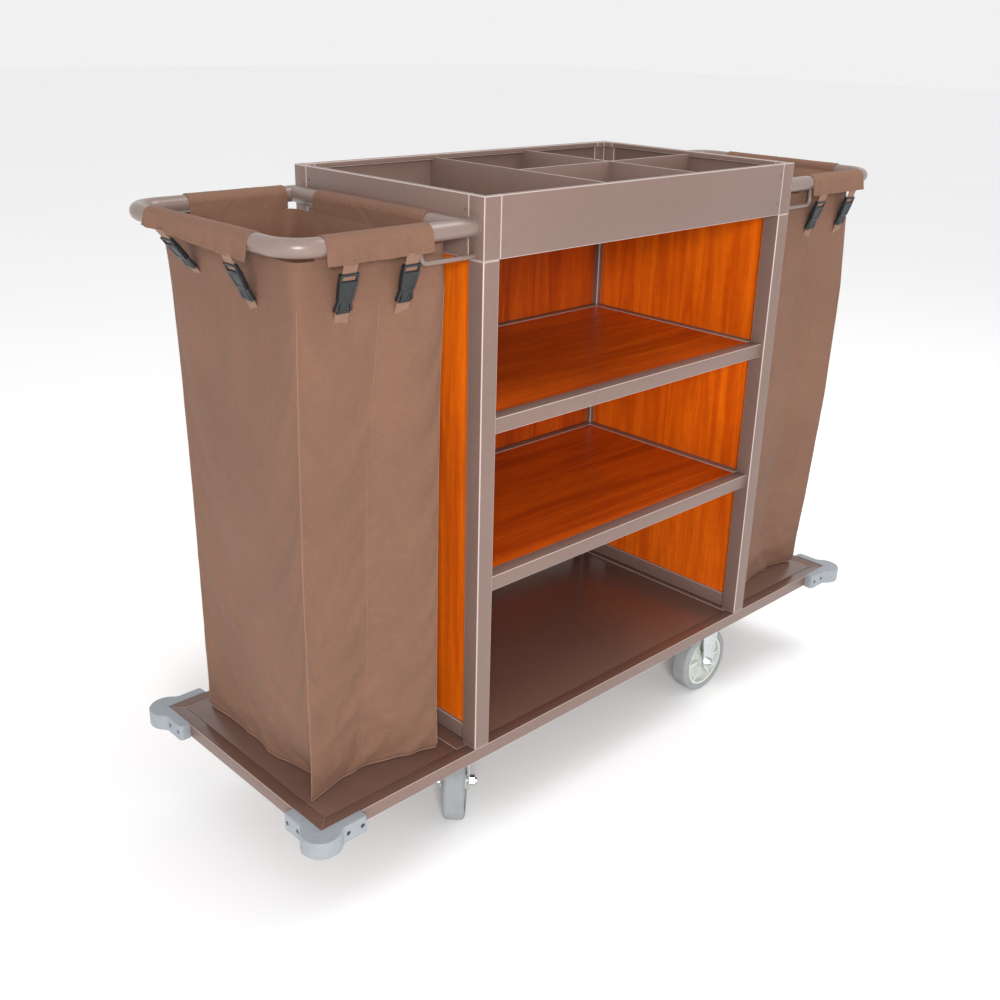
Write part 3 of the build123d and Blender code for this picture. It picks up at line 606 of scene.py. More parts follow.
def wrapped_grid(
    name: str, columns: int, rows: int, place: Callable[[float, float], Vector], lengths: tuple[float, float]
) -> bpy.types.Object:
    """A flat grid whose points are moved onto a surface, with a UV map in metres.

    Args:
        name: The piece's name.
        columns: Faces across.
        rows: Faces up.
        place: A function of u and v, both 0..1, that gives a point.
        lengths: Real width and height of the cloth, for the UV map.

    Returns:
        The new piece.
    """
    clear_selection()
    bpy.ops.mesh.primitive_grid_add(x_subdivisions=columns, y_subdivisions=rows, size=1.0, calc_uvs=True)
    piece = bpy.context.object
    piece.name = name
    settle(piece)
    mesh = piece.data
    for vertex in mesh.vertices:
        vertex.co = place(vertex.co.x + 0.5, vertex.co.y + 0.5)
    layer = mesh.uv_layers.active
    layer.name = "UVMap"
    for item in layer.data:
        item.uv = (item.uv[0] * lengths[0], item.uv[1] * lengths[1])
    return piece


def finished_copy(node: str, edge: float) -> bpy.types.Object:
    """A copy of a frame node with its sharp edges broken.

    Args:
        node: The node that is copied.
        edge: The width of the broken edges, in metres.

    Returns:
        The copy, which stands for the node.
    """
    source = frame["nodes"][node]
    piece = source.copy()
    piece.data = source.data.copy()
    piece.name = f"{node}_finished"
    piece.parent = None
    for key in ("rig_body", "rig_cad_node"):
        del piece[key]
    bpy.context.scene.collection.objects.link(piece)
    activate(piece)
    if piece.data.has_custom_normals:
        bpy.ops.mesh.customdata_custom_splitnormals_clear()
    bpy.ops.object.mode_set(mode="EDIT")
    bpy.ops.mesh.select_all(action="SELECT")
    bpy.ops.mesh.remove_doubles(threshold=2e-5)
    bpy.ops.mesh.dissolve_limited(angle_limit=math.radians(0.5))
    bpy.ops.object.mode_set(mode="OBJECT")
    modify(piece, "BEVEL", width=edge, segments=2, limit_method="ANGLE", angle_limit=math.radians(40))
    smooth(piece)
    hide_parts(node)
    return piece


def stitch_line(
    name: str, points: list[Vector], outward: list[Vector], pitch: float = 0.0052
) -> bpy.types.Object:
    """A row of short threads along a line on cloth.

    Args:
        name: The row's name.
        points: The line that the needle follows.
        outward: The cloth's outward direction at each point.
        pitch: From one stitch to the next.

    Returns:
        All the stitches as one piece.
    """
    thread = box_piece(name + "_pattern", Vector((0.0030, 0.0007, 0.0006)), Vector((0, 0, 0)), 0.0002)
    shape = np.array([vertex.co[:] for vertex in thread.data.vertices])
    faces = [tuple(face.vertices) for face in thread.data.polygons]
    bpy.data.objects.remove(thread)
    reach = np.cumsum([0.0] + [(b - a).length for a, b in zip(points, points[1:])])
    spots = np.arange(pitch / 2, reach[-1], pitch)
    corners: list[tuple] = []
    sides: list[tuple] = []
    for spot in spots:
        step = min(int(np.searchsorted(reach, spot, side="right")) - 1, len(points) - 2)
        share = (spot - reach[step]) / max(reach[step + 1] - reach[step], 1e-9)
        centre = points[step].lerp(points[step + 1], share)
        along = (points[step + 1] - points[step]).normalized()
        out = outward[step].lerp(outward[step + 1], share).normalized()
        across = out.cross(along).normalized()
        turn = np.array([along[:], across[:], out[:]])
        start = len(corners)
        corners += [tuple(row) for row in shape @ turn + np.array(centre[:])]
        sides += [tuple(start + index for index in face) for face in faces]
    mesh = bpy.data.meshes.new(name)
    mesh.from_pydata(corners, [], sides)
    mesh.uv_layers.new(name="UVMap")
    piece = bpy.data.objects.new(name, mesh)
    bpy.context.scene.collection.objects.link(piece)
    return piece


# ---------------------------------------------------------------- rigid parts


@dataclass(frozen=True)
class RigidParts:
    """Frame nodes and their finishes: sharp folded parts also get broken edges."""

    finishes: Finishes
    broken_edges: tuple[tuple[str, str, float], ...] = (
        ("post_", "profile", 0.0020),
        ("platform_", "profile", 0.0010),
        ("deck_cross", "profile", 0.0010),
        ("tray_wall", "profile", 0.0012),
        ("tray_corners", "profile", 0.0014),
        ("tray_divider", "profile", 0.0004),
        ("lower_shelf_rails", "profile", 0.0016),
        ("upper_shelf_rails", "profile", 0.0016),
        ("panel_bottom", "profile", 0.0010),
        ("deck_panel", "deck", 0.0008),
        ("bumper_front", "bumper", 0.0022),
        ("bumper_back", "bumper", 0.0022),
        ("swivel_tyre", "tread", 0.0022),
        ("fixed_tyre", "tread", 0.0022),
    )
    kept_as_is: tuple[tuple[str, str], ...] = (
        ("tray_floor", "profile"),
        ("caster_beams", "profile"),
        ("bag_tube", "tube"),
        ("bag_cross", "tube"),
        ("brace_rods", "tube"),
        ("tube_collars", "tube"),
        ("side_panel", "upright_wood"),
        ("back_panel", "shaded_back_wood"),
        ("lower_shelf_panel", "shelf_wood"),
        ("upper_shelf_panel", "shelf_wood"),
        ("bumper_screws", "screw"),
        ("swivel_hub", "hub"),
        ("fixed_hub", "hub"),
        ("swivel_fork", "zinc"),
        ("swivel_plates", "zinc"),
        ("swivel_axle", "zinc"),
        ("fixed_brackets", "zinc"),
        ("fixed_axles", "zinc"),
        ("caster_bolts", "zinc"),
    )

    # Rails whose upward faces are painted darker: painted shade.
    top_shaded: tuple[str, ...] = ("platform_", "deck_cross")

    def paint_top_shade(self, piece: bpy.types.Object) -> None:
        """Give a rail's upward faces the darker deck coating as painted shade on faces that get little light
        from above.
        """
        piece.data.materials.append(self.finishes.materials["deck"])
        for face in piece.data.polygons:
            if face.normal.z > 0.9:
                face.material_index = len(piece.data.materials) - 1

    def paint_edge_highlights(self, piece: bpy.types.Object) -> None:
        """Give a part's broken edges, and the thin tops of dividers, a paler coating as painted highlight
        where light catches them.
        """
        piece.data.materials.append(self.finishes.materials["edge"])
        thin = piece.name.startswith("tray_divider")
        for face in piece.data.polygons:
            slanted = max(map(abs, face.normal)) < 0.985
            if slanted or (thin and face.normal.z > 0.9):
                face.material_index = 1

    def build(self) -> None:
        """Dress every rigid node."""
        for node, part in sorted(frame["nodes"].items()):
            for prefix, finish, edge in self.broken_edges:
                if node.startswith(prefix):
                    piece = finished_copy(node, edge)
                    self.finishes.dress(piece, finish)
                    if finish == "profile":
                        self.paint_edge_highlights(piece)
                    if node.startswith(self.top_shaded):
                        self.paint_top_shade(piece)
                    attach(piece, part["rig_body"])
                    log.info("%s: edges broken %.1f mm, %s", node, edge * 1000, finish)
            for prefix, finish in self.kept_as_is:
                if node.startswith(prefix):
                    self.finishes.dress(part, finish)
                    log.info("%s: %s", node, finish)


@dataclass(frozen=True)
class TrayRivets:
    """Small domed rivets beside the tray's corner pieces."""

    finishes: Finishes
    radius: float = 0.0030
    height: float = 0.0012
    seam: float = 0.035
    inset: float = 0.007
    levels: tuple[float, ...] = (0.022, 0.075)

    def build(self) -> None:
        """Place two rivets on each side of each corner."""
        lows = [box_of(f"tray_wall_{side}")[0] for side in ("front", "left")]
        highs = [box_of(f"tray_wall_{side}")[1] for side in ("back", "right")]
        low = Vector([min(corner[axis] for corner in lows) for axis in range(3)])
        high = Vector([max(corner[axis] for corner in highs) for axis in range(3)])
        clear_selection()
        bpy.ops.mesh.primitive_cylinder_add(vertices=16, radius=self.radius, depth=self.height)
        rivet = bpy.context.object
        bpy.ops.object.mode_set(mode="EDIT")
        bpy.ops.mesh.select_all(action="SELECT")
        bpy.ops.mesh.bevel(offset=self.height * 0.45, segments=2, affect="EDGES")
        bpy.ops.object.mode_set(mode="OBJECT")
        copies = []
        for level in self.levels:
            z = low.z + level
            for x, y, turn in self.spots(low, high):
                place = Matrix.Translation((x, y, z)) @ turn
                copies.append(copy_of(rivet, "rivet", place))
        bpy.data.objects.remove(rivet)
        piece = join(copies, "tray_rivets")
        smooth(piece)
        self.finishes.dress(piece, "profile")
        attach(piece, "root")
        log.info("tray_rivets: %d", len(copies))

    def spots(self, low: Vector, high: Vector) -> list[tuple[float, float, Matrix]]:
        """Where the rivets stand on the outside of the tray.

        Args:
            low: The tray's lowest corner.
            high: Its highest corner.

        Returns:
            X, Y and the turn that faces each rivet outwards.
        """
        along_y = Matrix.Rotation(math.radians(90), 4, "X")
        along_x = Matrix.Rotation(math.radians(90), 4, "Y")
        reach = self.seam + self.inset
        lift = self.height * 0.3
        found = []
        for x in (low.x + reach, high.x - reach):
            found += [(x, low.y - lift, along_y), (x, high.y + lift, along_y)]
        for y in (low.y + reach, high.y - reach):
            found += [(low.x - lift, y, along_x), (high.x + lift, y, along_x)]
        return found


# ---------------------------------------------------------------- bags


@dataclass(frozen=True)
class Level:
    """One level of a bag: its height, its corners and how its faces are drawn in.

    Each corner is (inset from the rim's side, inset from the rim's front or back), in the order front
    outer, front inner, back inner, back outer.
    """

    height: float
    insets: tuple[tuple[float, float], ...]
    radius: float
    fold: float = 0.0
    notch: float = 0.0
    crease_at: float = 0.5
    softness: float = 0.3

    def eased(self, other: "Level", share: float) -> "Level":
        """A level part of the way to another one."""

        def between(first: float, second: float) -> float:
            """A value part of the way between two."""
            return first + (second - first) * share

        insets = tuple(tuple(map(between, one, two)) for one, two in zip(self.insets, other.insets))
        names = ("radius", "fold", "notch", "crease_at", "softness")
        rest = {name: between(getattr(self, name), getattr(other, name)) for name in names}
        return Level(between(self.height, other.height), insets, **rest)


@dataclass(frozen=True)
class Bag:
    """A sewn fabric bag, hung in its tube frame and standing on the deck.

    It is shaped as the left bag, and the right one is its mirror with other soft folds.
    """

    end: End
    finishes: Finishes
    columns_per_side: int = 38
    rows: int = 70
    floor_rings: int = 9
    thickness: float = 0.0024
    hem_height: float = 1.056
    rim_height: float = 1.1245
    round_length: float = 1.42
    slack: float = 0.005
    frames: int = 18
    furthest: float = 0.012
    piping: float = 0.0016
    swell: float = 0.0045
    fold_height: float = 0.0026
    low_fold_height: float = 0.0084
    cross_height: float = 0.0060
    wrinkled_below: float = 0.62
    wrinkle_ease: float = 0.36
    levels: tuple[Level, ...] = (
        Level(
            0.2165, ((0.010, 0.032), (0.009, 0.012), (0.009, 0.006), (0.044, 0.004)),
            0.004, 0.029, 0.046, 0.43, 0.03,
        ),
        Level(
            0.245, ((0.011, 0.030), (0.011, 0.011), (0.011, 0.006), (0.046, 0.004)),
            0.006, 0.027, 0.034, 0.44, 0.03,
        ),
        Level(
            0.290, ((0.011, 0.028), (0.013, 0.010), (0.013, 0.006), (0.046, 0.004)),
            0.008, 0.026, 0.018, 0.46, 0.03,
        ),
        Level(
            0.380, ((0.008, 0.024), (0.014, 0.009), (0.014, 0.005), (0.046, 0.004)),
            0.008, 0.025, 0.008, 0.48, 0.04,
        ),
        Level(
            0.650, ((0.002, 0.014), (0.015, 0.006), (0.014, 0.005), (0.046, 0.004)),
            0.008, 0.022, 0.004, 0.52, 0.04,
        ),
        Level(
            0.900, ((0.000, 0.004), (0.014, 0.003), (0.013, 0.003), (0.044, 0.003)),
            0.008, 0.016, 0.0, 0.53, 0.05,
        ),
        Level(
            1.056, ((-0.001, -0.004), (0.010, -0.003), (0.010, 0.000), (0.038, 0.002)),
            0.013, 0.003, 0.0, 0.53, 0.2,
        ),
        Level(1.1245, ((0.0, 0.0), (0.0, 0.0), (0.0, 0.0), (0.024, 0.004)), 0.034),
    )
    right_insets: tuple[float, ...] = (0.012, 0.012, 0.010, 0.004, -0.006, 0.006, 0.034, 0.030)

    @property
    def name(self) -> str:
        """The name of the frame node that the bag stands for."""
        return f"bag_{self.end.name.lower()}"

    @property
    def columns(self) -> int:
        """Points round the bag."""
        return self.columns_per_side * 4

    def at(self, height: float) -> Level:
        """The level at a height, eased between the stated ones."""
        for low, high in zip(self.levels, self.levels[1:]):
            if height <= high.height:
                break
        share = min(max((height - low.height) / (high.height - low.height), 0.0), 1.0)
        return low.eased(high, share)

    def corners(self, level: Level) -> list[Vector]:
        """The four corners at a level, from the rim of the frame's left bag.

        On the right bag the front outer corner, and not the back one, hangs in from the rim.
        """
        low, high = box_of("bag_left")
        left, right, front, back = (low.x, 1), (high.x, -1), (low.y, 1), (high.y, -1)
        signs = (left + front, right + front, right + back, left + back)
        return [
            Vector((x + way_x * inset[0], y + way_y * inset[1]))
            for (x, way_x, y, way_y), inset in zip(signs, self.end_insets(level))
        ]

    def end_insets(self, level: Level) -> tuple[tuple[float, float], ...]:
        """A level's insets, with the outer corners of the right bag changed round."""
        front_outer, front_inner, back_inner, back_outer = level.insets
        if self.end is End.LEFT:
            return level.insets
        heights = [item.height for item in self.levels]
        hung_in = float(np.interp(level.height, heights, self.right_insets))
        return (hung_in, front_outer[1]), front_inner, back_inner, (back_outer[0] * 0.4, back_outer[1])

    def outline(self, level: Level, turn: float) -> Vector:
        """A point on the bag's outline at a level.

        Args:
            level: The level.
            turn: Where on the outline, from 0 to 1 from the front outer corner.

        Returns:
            The point, for a left bag.
        """
        places = self.corners(level)
        side = int(turn * 4) % 4
        share = turn * 4 % 1.0
        share -= math.sin(2 * math.pi * share) * 0.5 / (2 * math.pi)
        before, start, finish, after = (places[(side + step) % 4] for step in (-1, 0, 1, 2))
        span = finish - start
        inward = Vector((-span.y, span.x)).normalized()
        point = start.lerp(finish, share)
        near = min(share, 1 - share) * span.length
        if near < level.radius:
            corner, other = (start, before) if share < 0.5 else (finish, after)
            along = span if share < 0.5 else -span
            mine = corner + along.normalized() * level.radius
            theirs = corner + (other - corner).normalized() * level.radius
            weight = 0.5 + 0.5 * near / level.radius
            point = theirs * (1 - weight) ** 2 + corner * 2 * weight * (1 - weight) + mine * weight**2
        point += inward * self.drawn_in(level, side, share)
        return Vector((point.x, point.y, level.height))

    @staticmethod
    def drawn_in(level: Level, side: int, share: float) -> float:
        """How far a face is drawn in: folded at the front and back, notched beside a corner at the ends."""
        if side % 2 == 0:
            middle = level.crease_at if side == 0 else 1 - level.crease_at
            away = (middle - share) / middle if share < middle else (share - middle) / (1 - middle)
            soft = level.softness
            fall = (math.hypot(away, soft) - soft) / (math.hypot(1, soft) - soft)
            return level.fold * (1 - fall)
        towards = share if side == 3 else 1 - share
        rise = min(max((towards - 0.55) / 0.36, 0.0), 1.0)
        drop = min(max((1 - towards) / 0.085, 0.0), 1.0)
        notch = (rise * rise * (3 - 2 * rise)) * (drop * drop * (3 - 2 * drop))
        return level.fold * 0.4 * math.sin(math.pi * share) ** 0.8 + level.notch * notch

    def crease(self, point: Vector, turn: float) -> float:
        """How far soft folds push the cloth out at a point, in metres."""
        seed = 3.7 if self.end is End.LEFT else 11.3
        side_share = turn * 4 % 1.0
        away = math.sin(math.pi * side_share) ** 0.6
        lowness = min(max((self.wrinkled_below - point.z) / self.wrinkle_ease, 0.0), 1.0)
        broad = noise.noise(Vector((point.x * 6 + seed, point.y * 6, point.z * 2.2)))
        along = point.x + point.y
        fold = self.pleat(along * 5 + point.z * 4 + seed, point.z * 11 - along * 7)
        cross = self.pleat(along * 13 - point.z * 9 + seed * 2, point.z * 17 + along * 5)
        calm = min(max((self.hem_height - point.z) / 0.1, 0.0), 1.0)
        folded = self.fold_height + self.low_fold_height * lowness
        crossed = self.cross_height * lowness
        return away * calm * (self.swell * broad + folded * fold + crossed * cross)

    @staticmethod
    def pleat(across: float, along: float) -> float:
        """A field of narrow ridges between wide hollows, from about -0.4 to 1."""
        ridge = 1 - min(abs(noise.noise(Vector((across, along, 1.7)))) * 3.4, 1.0)
        return ridge * ridge - 0.35

    def wall_point(self, height: float, turn: float) -> Vector:
        """A point of the wall, with its soft folds."""
        level = self.at(height)
        point = self.outline(level, turn)
        middle = sum(self.corners(level), Vector((0, 0))) / 4
        out = Vector((point.x - middle.x, point.y - middle.y, 0)).normalized()
        hemmed = 0.0007 if height > self.rim_height - 0.014 or height > self.hem_height else 0.0
        return point + out * (self.crease(point, turn) + hemmed)

    def build(self) -> bpy.types.Object:
        """Make the bag and everything sewn to it.

        Returns:
            The bag's shell.
        """
        bottom, top = self.levels[0].height, self.rim_height
        middle = sum(self.corners(self.levels[0]), Vector((0, 0))) / 4
        centre = Vector((middle.x, middle.y, bottom))

        def wall_place(u: float, v: float) -> Vector:
            """A point of the wall."""
            return self.wall_point(bottom + (top - bottom) * v, u % 1.0)

        def floor_place(u: float, v: float) -> Vector:
            """A point of the floor."""
            return centre.lerp(self.wall_point(bottom, u % 1.0), 0.02 + 0.98 * v)

        wall = wrapped_grid(
            self.name + "_shell", self.columns, self.rows, wall_place, (self.round_length, top - bottom)
        )
        floor = wrapped_grid(
            self.name + "_floor", self.columns, self.floor_rings, floor_place, (self.round_length, 0.2)
        )
        self.number(wall, {row: row + 1 for row in range(self.rows + 1)}, top - bottom)
        self.number(floor, {self.floor_rings: 1}, 0.2)
        shell = join([wall, floor], self.name + "_shell")
        bpy.ops.object.mode_set(mode="EDIT")
        bpy.ops.mesh.select_all(action="SELECT")
        bpy.ops.mesh.remove_doubles(threshold=0.0003)
        bpy.ops.mesh.select_all(action="SELECT")
        bpy.ops.mesh.normals_make_consistent(inside=False)
        bpy.ops.object.mode_set(mode="OBJECT")
        if self.end is End.RIGHT:
            shell.data.transform(Matrix.Scale(-1, 4, (1, 0, 0)))
            shell.data.flip_normals()
        self.sag(shell)
        return self.finish(shell)

    def number(self, grid: bpy.types.Object, lines: dict[int, int], height: float) -> None:
        """Number a grid's points by column and line, so that seams can find them.

        Args:
            grid: The wall or the floor.
            lines: The line that each of the grid's rows belongs to; others get 0.
            height: The grid's height in its UV map.
        """
        rows = max(lines)
        file_of = grid.data.attributes.new("file", "INT", "POINT").data
        line_of = grid.data.attributes.new("line", "INT", "POINT").data
        for loop, item in zip(grid.data.loops, grid.data.uv_layers["UVMap"].data):
            column = round(item.uv[0] / self.round_length * self.columns) % self.columns
            file_of[loop.vertex_index].value = column
            line_of[loop.vertex_index].value = lines.get(round(item.uv[1] / height * rows), 0)

    def crease_files(self, height: float) -> set[int]:
        """The columns that lie on the pressed folds of the front and the back at a height."""
        share = self.at(height).crease_at
        middle = share + math.sin(2 * math.pi * share) * 0.5 / (2 * math.pi)
        front = round(middle * self.columns_per_side)
        return {front, self.columns_per_side * 3 - front}

    def sag(self, shell: bpy.types.Object) -> None:
        """Let the bag's slack cloth settle, held at its rim, seams, pressed folds and floor."""
        group = shell.vertex_groups.new(name="held")
        before = [vertex.co.copy() for vertex in shell.data.vertices]
        lines = [item.value for item in shell.data.attributes["line"].data]
        files = [item.value for item in shell.data.attributes["file"].data]
        for index, (line, file) in enumerate(zip(lines, files)):
            on_seam = file % self.columns_per_side == 0
            on_crease = file in self.crease_files(before[index].z)
            if line <= 1 or before[index].z > self.hem_height or on_seam or on_crease:
                group.add([index], 1.0, "REPLACE")
        activate(shell)
        cloth = shell.modifiers.new("cloth", "CLOTH")
        settings = cloth.settings
        wanted = {
            "quality": 6,
            "mass": 0.25,
            "tension_stiffness": 40,
            "compression_stiffness": 40,
            "shear_stiffness": 20,
            "bending_stiffness": 2.5,
            "air_damping": 4,
            "shrink_min": -self.slack,
            "vertex_group_mass": "held",
        }
        for key, value in wanted.items():
            setattr(settings, key, value)
        cloth.collision_settings.use_collision = False
        scene = bpy.context.scene
        scene.frame_start = 1
        scene.frame_end = self.frames
        cloth.point_cache.frame_start = 1
        cloth.point_cache.frame_end = self.frames
        for step in range(1, self.frames + 1):
            scene.frame_set(step)
        bpy.ops.object.modifier_apply(modifier=cloth.name)
        scene.frame_set(1)
        for vertex, start in zip(shell.data.vertices, before):
            move = vertex.co - start
            if move.length > self.furthest:
                move *= self.furthest / move.length
            vertex.co = start + move
            vertex.co.z = max(vertex.co.z, self.levels[0].height)
        shell.vertex_groups.clear()

    def finish(self, shell: bpy.types.Object) -> bpy.types.Object:
        """Smooth and thicken the shell, and sew on its seams.

        Args:
            shell: The thin shell.

        Returns:
            The finished shell.
        """
        files = [item.value for item in shell.data.attributes["file"].data]
        lines = [item.value for item in shell.data.attributes["line"].data]
        points = [vertex.co.copy() for vertex in shell.data.vertices]
        place = {(file, line): point for file, line, point in zip(files, lines, points) if line > 0}
        modify(shell, "SUBSURF", levels=1, render_levels=1)
        tree = surface_tree(shell)
        modify(shell, "SOLIDIFY", thickness=self.thickness, offset=-1.0)
        smooth(shell, 60)
        self.finishes.dress(shell, "bag")
        self.attach(shell, "bag")
        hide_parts(self.name)
        self.sew(place, tree)
        log.info("%s: shell with %d points", self.name, len(shell.data.vertices))
        return shell

    def sew(self, place: dict, tree: object) -> None:
        """Sew stitches and piping along the bag's seams, and paler cords along its pressed folds as painted
        highlight.

        Args:
            place: Points of the shell by column and row.
            tree: Search tree over the shell.
        """
        step, top = self.columns_per_side, self.rows + 1
        height = self.rim_height - self.levels[0].height
        hem = round((self.hem_height - self.levels[0].height) / height * self.rows) + 1
        around = range(self.columns + 1)
        uprights = range(1, hem + 1)
        stitched = {
            "hem_upper": [(file % self.columns, hem + 1) for file in around],
            "hem_lower": [(file % self.columns, hem) for file in around],
            "rim": [(file % self.columns, top - 1) for file in around],
            "base": [(file % self.columns, 2) for file in around],
        }
        cord_tracks = {"base": [(file % self.columns, 1) for file in around]}
        for corner in range(4):
            file = corner * step
            stitched[f"seam_{corner}"] = [((file + 1) % self.columns, line) for line in range(2, top)]
            cord_tracks[f"seam_{corner}"] = [(file % self.columns, line) for line in uprights]
        # Cords along the pressed folds stand for the light line on each fold: painted highlight.
        for index, label in ((0, "front"), (1, "back")):
            files = {line: sorted(self.crease_files(place[0, line].z))[index] for line in range(2, hem)}
            cord_tracks[f"crease_{label}"] = [(file, line) for line, file in files.items()]
        rows = []
        for label, track in stitched.items():
            found = [tree.find_nearest(place[key])[:2] for key in track]
            points = [spot + normal * 0.0002 for spot, normal in found]
            rows.append(stitch_line(f"{self.name}_{label}", points, [normal for _, normal in found]))
        stitches = join(rows, f"{self.name}_stitches")
        ridges = []
        for label, track in cord_tracks.items():
            spots = [tree.find_nearest(place[key])[0] for key in track]
            share = {"base": 1.0, "crea": 0.45}.get(label[:4], 0.7)
            ridges.append(thin_cord(f"{self.name}_{label}", spots, self.piping * share))
        piping = join(ridges, f"{self.name}_piping")
        smooth(piping, 60)
        for piece, finish in ((stitches, "thread"), (piping, "piping")):
            self.finishes.dress(piece, finish)
            self.attach(piece, finish)

    def attach(self, piece: bpy.types.Object, finish: str) -> None:
        """Make a piece ride on the frame."""
        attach(piece, "root")


def thin_cord(name: str, points: list[Vector], radius: float) -> bpy.types.Object:
    """A round cord sewn along a line of points.

    Args:
        name: The piece's name.
        points: Its line, closed if it comes back to its start.
        radius: Its radius.

    Returns:
        The cord as a mesh.
    """
    curve = bpy.data.curves.new(name, "CURVE")
    curve.dimensions = "3D"
    curve.bevel_depth = radius
    curve.bevel_resolution = 2
    curve.use_fill_caps = True
    closed = (points[0] - points[-1]).length < radius
    kept = points[:-1] if closed else points
    spline = curve.splines.new("POLY")
    spline.points.add(len(kept) - 1)
    for item, point in zip(spline.points, kept):
        item.co = (*point, 1.0)
    spline.use_cyclic_u = closed
    piece = bpy.data.objects.new(name, curve)
    bpy.context.scene.collection.objects.link(piece)
    activate(piece)
    bpy.ops.object.convert(target="MESH")
    piece = bpy.context.object
    if not piece.data.uv_layers:
        piece.data.uv_layers.new(name="UVMap")
    return piece


def surface_tree(piece: bpy.types.Object) -> object:
    """A search tree over a piece's surface."""
    from mathutils.bvhtree import BVHTree

    mesh = piece.data
    return BVHTree.FromPolygons([v.co for v in mesh.vertices], [p.vertices for p in mesh.polygons])


# ---------------------------------------------------------------- flaps, straps and buckles


@dataclass(frozen=True)
class Flap:
    """A cloth flap sewn to the bag's rim and folded out over one tube.

    It is made over a tube that runs along X at the origin, with -Y outside.
    """

    name: str
    place: Matrix
    width: float
    tube: str
    finishes: Finishes
    radius: float = 0.0156
    outer_drop: float = 0.0250
    inner_drop: float = 0.0220
    thickness: float = 0.0020
    ripple: float = 0.0022
    flare: float = 0.0034
    slant: float = 0.0
    set_in: float = 0.0
    set_in_slope: float = 0.0

    @property
    def length(self) -> float:
        """The cloth's length over the tube."""
        return self.outer_drop + math.pi * self.radius + self.inner_drop

    def share_of_drop(self, across: float) -> float:
        """How much of its full drop the outer hem has at a place along the tube."""
        return 1 - abs(self.slant) * (0.5 - math.copysign(1, self.slant) * across / self.width)

    def section(self, travel: float, across: float) -> Vector:
        """A point of the cloth.

        Args:
            travel: Length from the outer hem.
            across: Place along the tube.

        Returns:
            The point, in the flap's own places.
        """
        bend = math.pi * self.radius
        seed = sum(ord(letter) for letter in self.name) * 0.37
        wave = noise.noise(Vector((across * 34 + seed, travel * 9, seed)))
        pleat = noise.noise(Vector((across * 90 + seed, travel * 5, 0.3)))
        if travel < self.outer_drop:
            hang = 1 - travel / self.outer_drop
            push = self.flare * hang + self.ripple * (0.4 + hang) * (wave * 1.6 + pleat * 0.7)
            below = self.outer_drop * hang * self.share_of_drop(across)
            point = Vector((across, -self.radius - push, -below))
        elif travel < self.outer_drop + bend:
            angle = (travel - self.outer_drop) / self.radius
            reach = self.radius + self.ripple * 0.35 * abs(pleat)
            point = Vector((across, -reach * math.cos(angle), reach * math.sin(angle)))
        else:
            down = travel - self.outer_drop - bend
            to_rim = max(self.set_in + self.set_in_slope * across, 0.0) * down / self.inner_drop
            point = Vector((across, self.radius + to_rim, -down))
        hem = math.exp(-(((travel - 0.0075) / 0.0016) ** 2)) * 0.0006
        point.y += hem if travel < self.outer_drop else 0.0
        return point

    def build(self) -> bpy.types.Object:
        """Make the flap and its hem stitches.

        Returns:
            The flap.
        """

        def place(u: float, v: float) -> Vector:
            """A point of the flap in its own places."""
            edge = 1 - 0.012 * math.sin(math.pi * v) ** 2
            return self.section(v * self.length, (u - 0.5) * self.width * edge)

        columns = round(self.width / 0.0028)
        piece = wrapped_grid(self.name, columns, 44, place, (self.width, self.length))
        bpy.ops.object.mode_set(mode="EDIT")
        bpy.ops.mesh.select_all(action="SELECT")
        bpy.ops.mesh.flip_normals()
        bpy.ops.object.mode_set(mode="OBJECT")
        self.face_out(piece)
        modify(piece, "SOLIDIFY", thickness=self.thickness, offset=-1.0)
        modify(piece, "BEVEL", width=0.0006, segments=2, limit_method="ANGLE", angle_limit=math.radians(60))
        smooth(piece, 50)
        piece.data.transform(self.place)
        self.finishes.dress(piece, "bag")
        rows = []
        for label, travel in (("hem", 0.0075), ("edge", 0.0042)):
            points, outward = [], []
            for step in range(columns + 1):
                across = (step / columns - 0.5) * (self.width - 0.008)
                points.append(self.place @ (self.section(travel, across) + Vector((0, -0.0004, 0))))
                outward.append((self.place.to_3x3() @ Vector((0, -1, 0))).normalized())
            rows.append(stitch_line(f"{self.name}_{label}", points, outward))
        stitches = join(rows, f"{self.name}_stitches")
        self.finishes.dress(stitches, "thread")
        for item, finish in ((piece, "bag"), (stitches, "thread")):
            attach(item, "root")
        return piece

    def face_out(self, piece: bpy.types.Object) -> None:
        """Turn the cloth's faces away from the tube."""
        mesh = piece.data
        top = max(mesh.polygons, key=lambda face: face.center.z)
        if top.normal.z < 0:
            mesh.flip_normals()


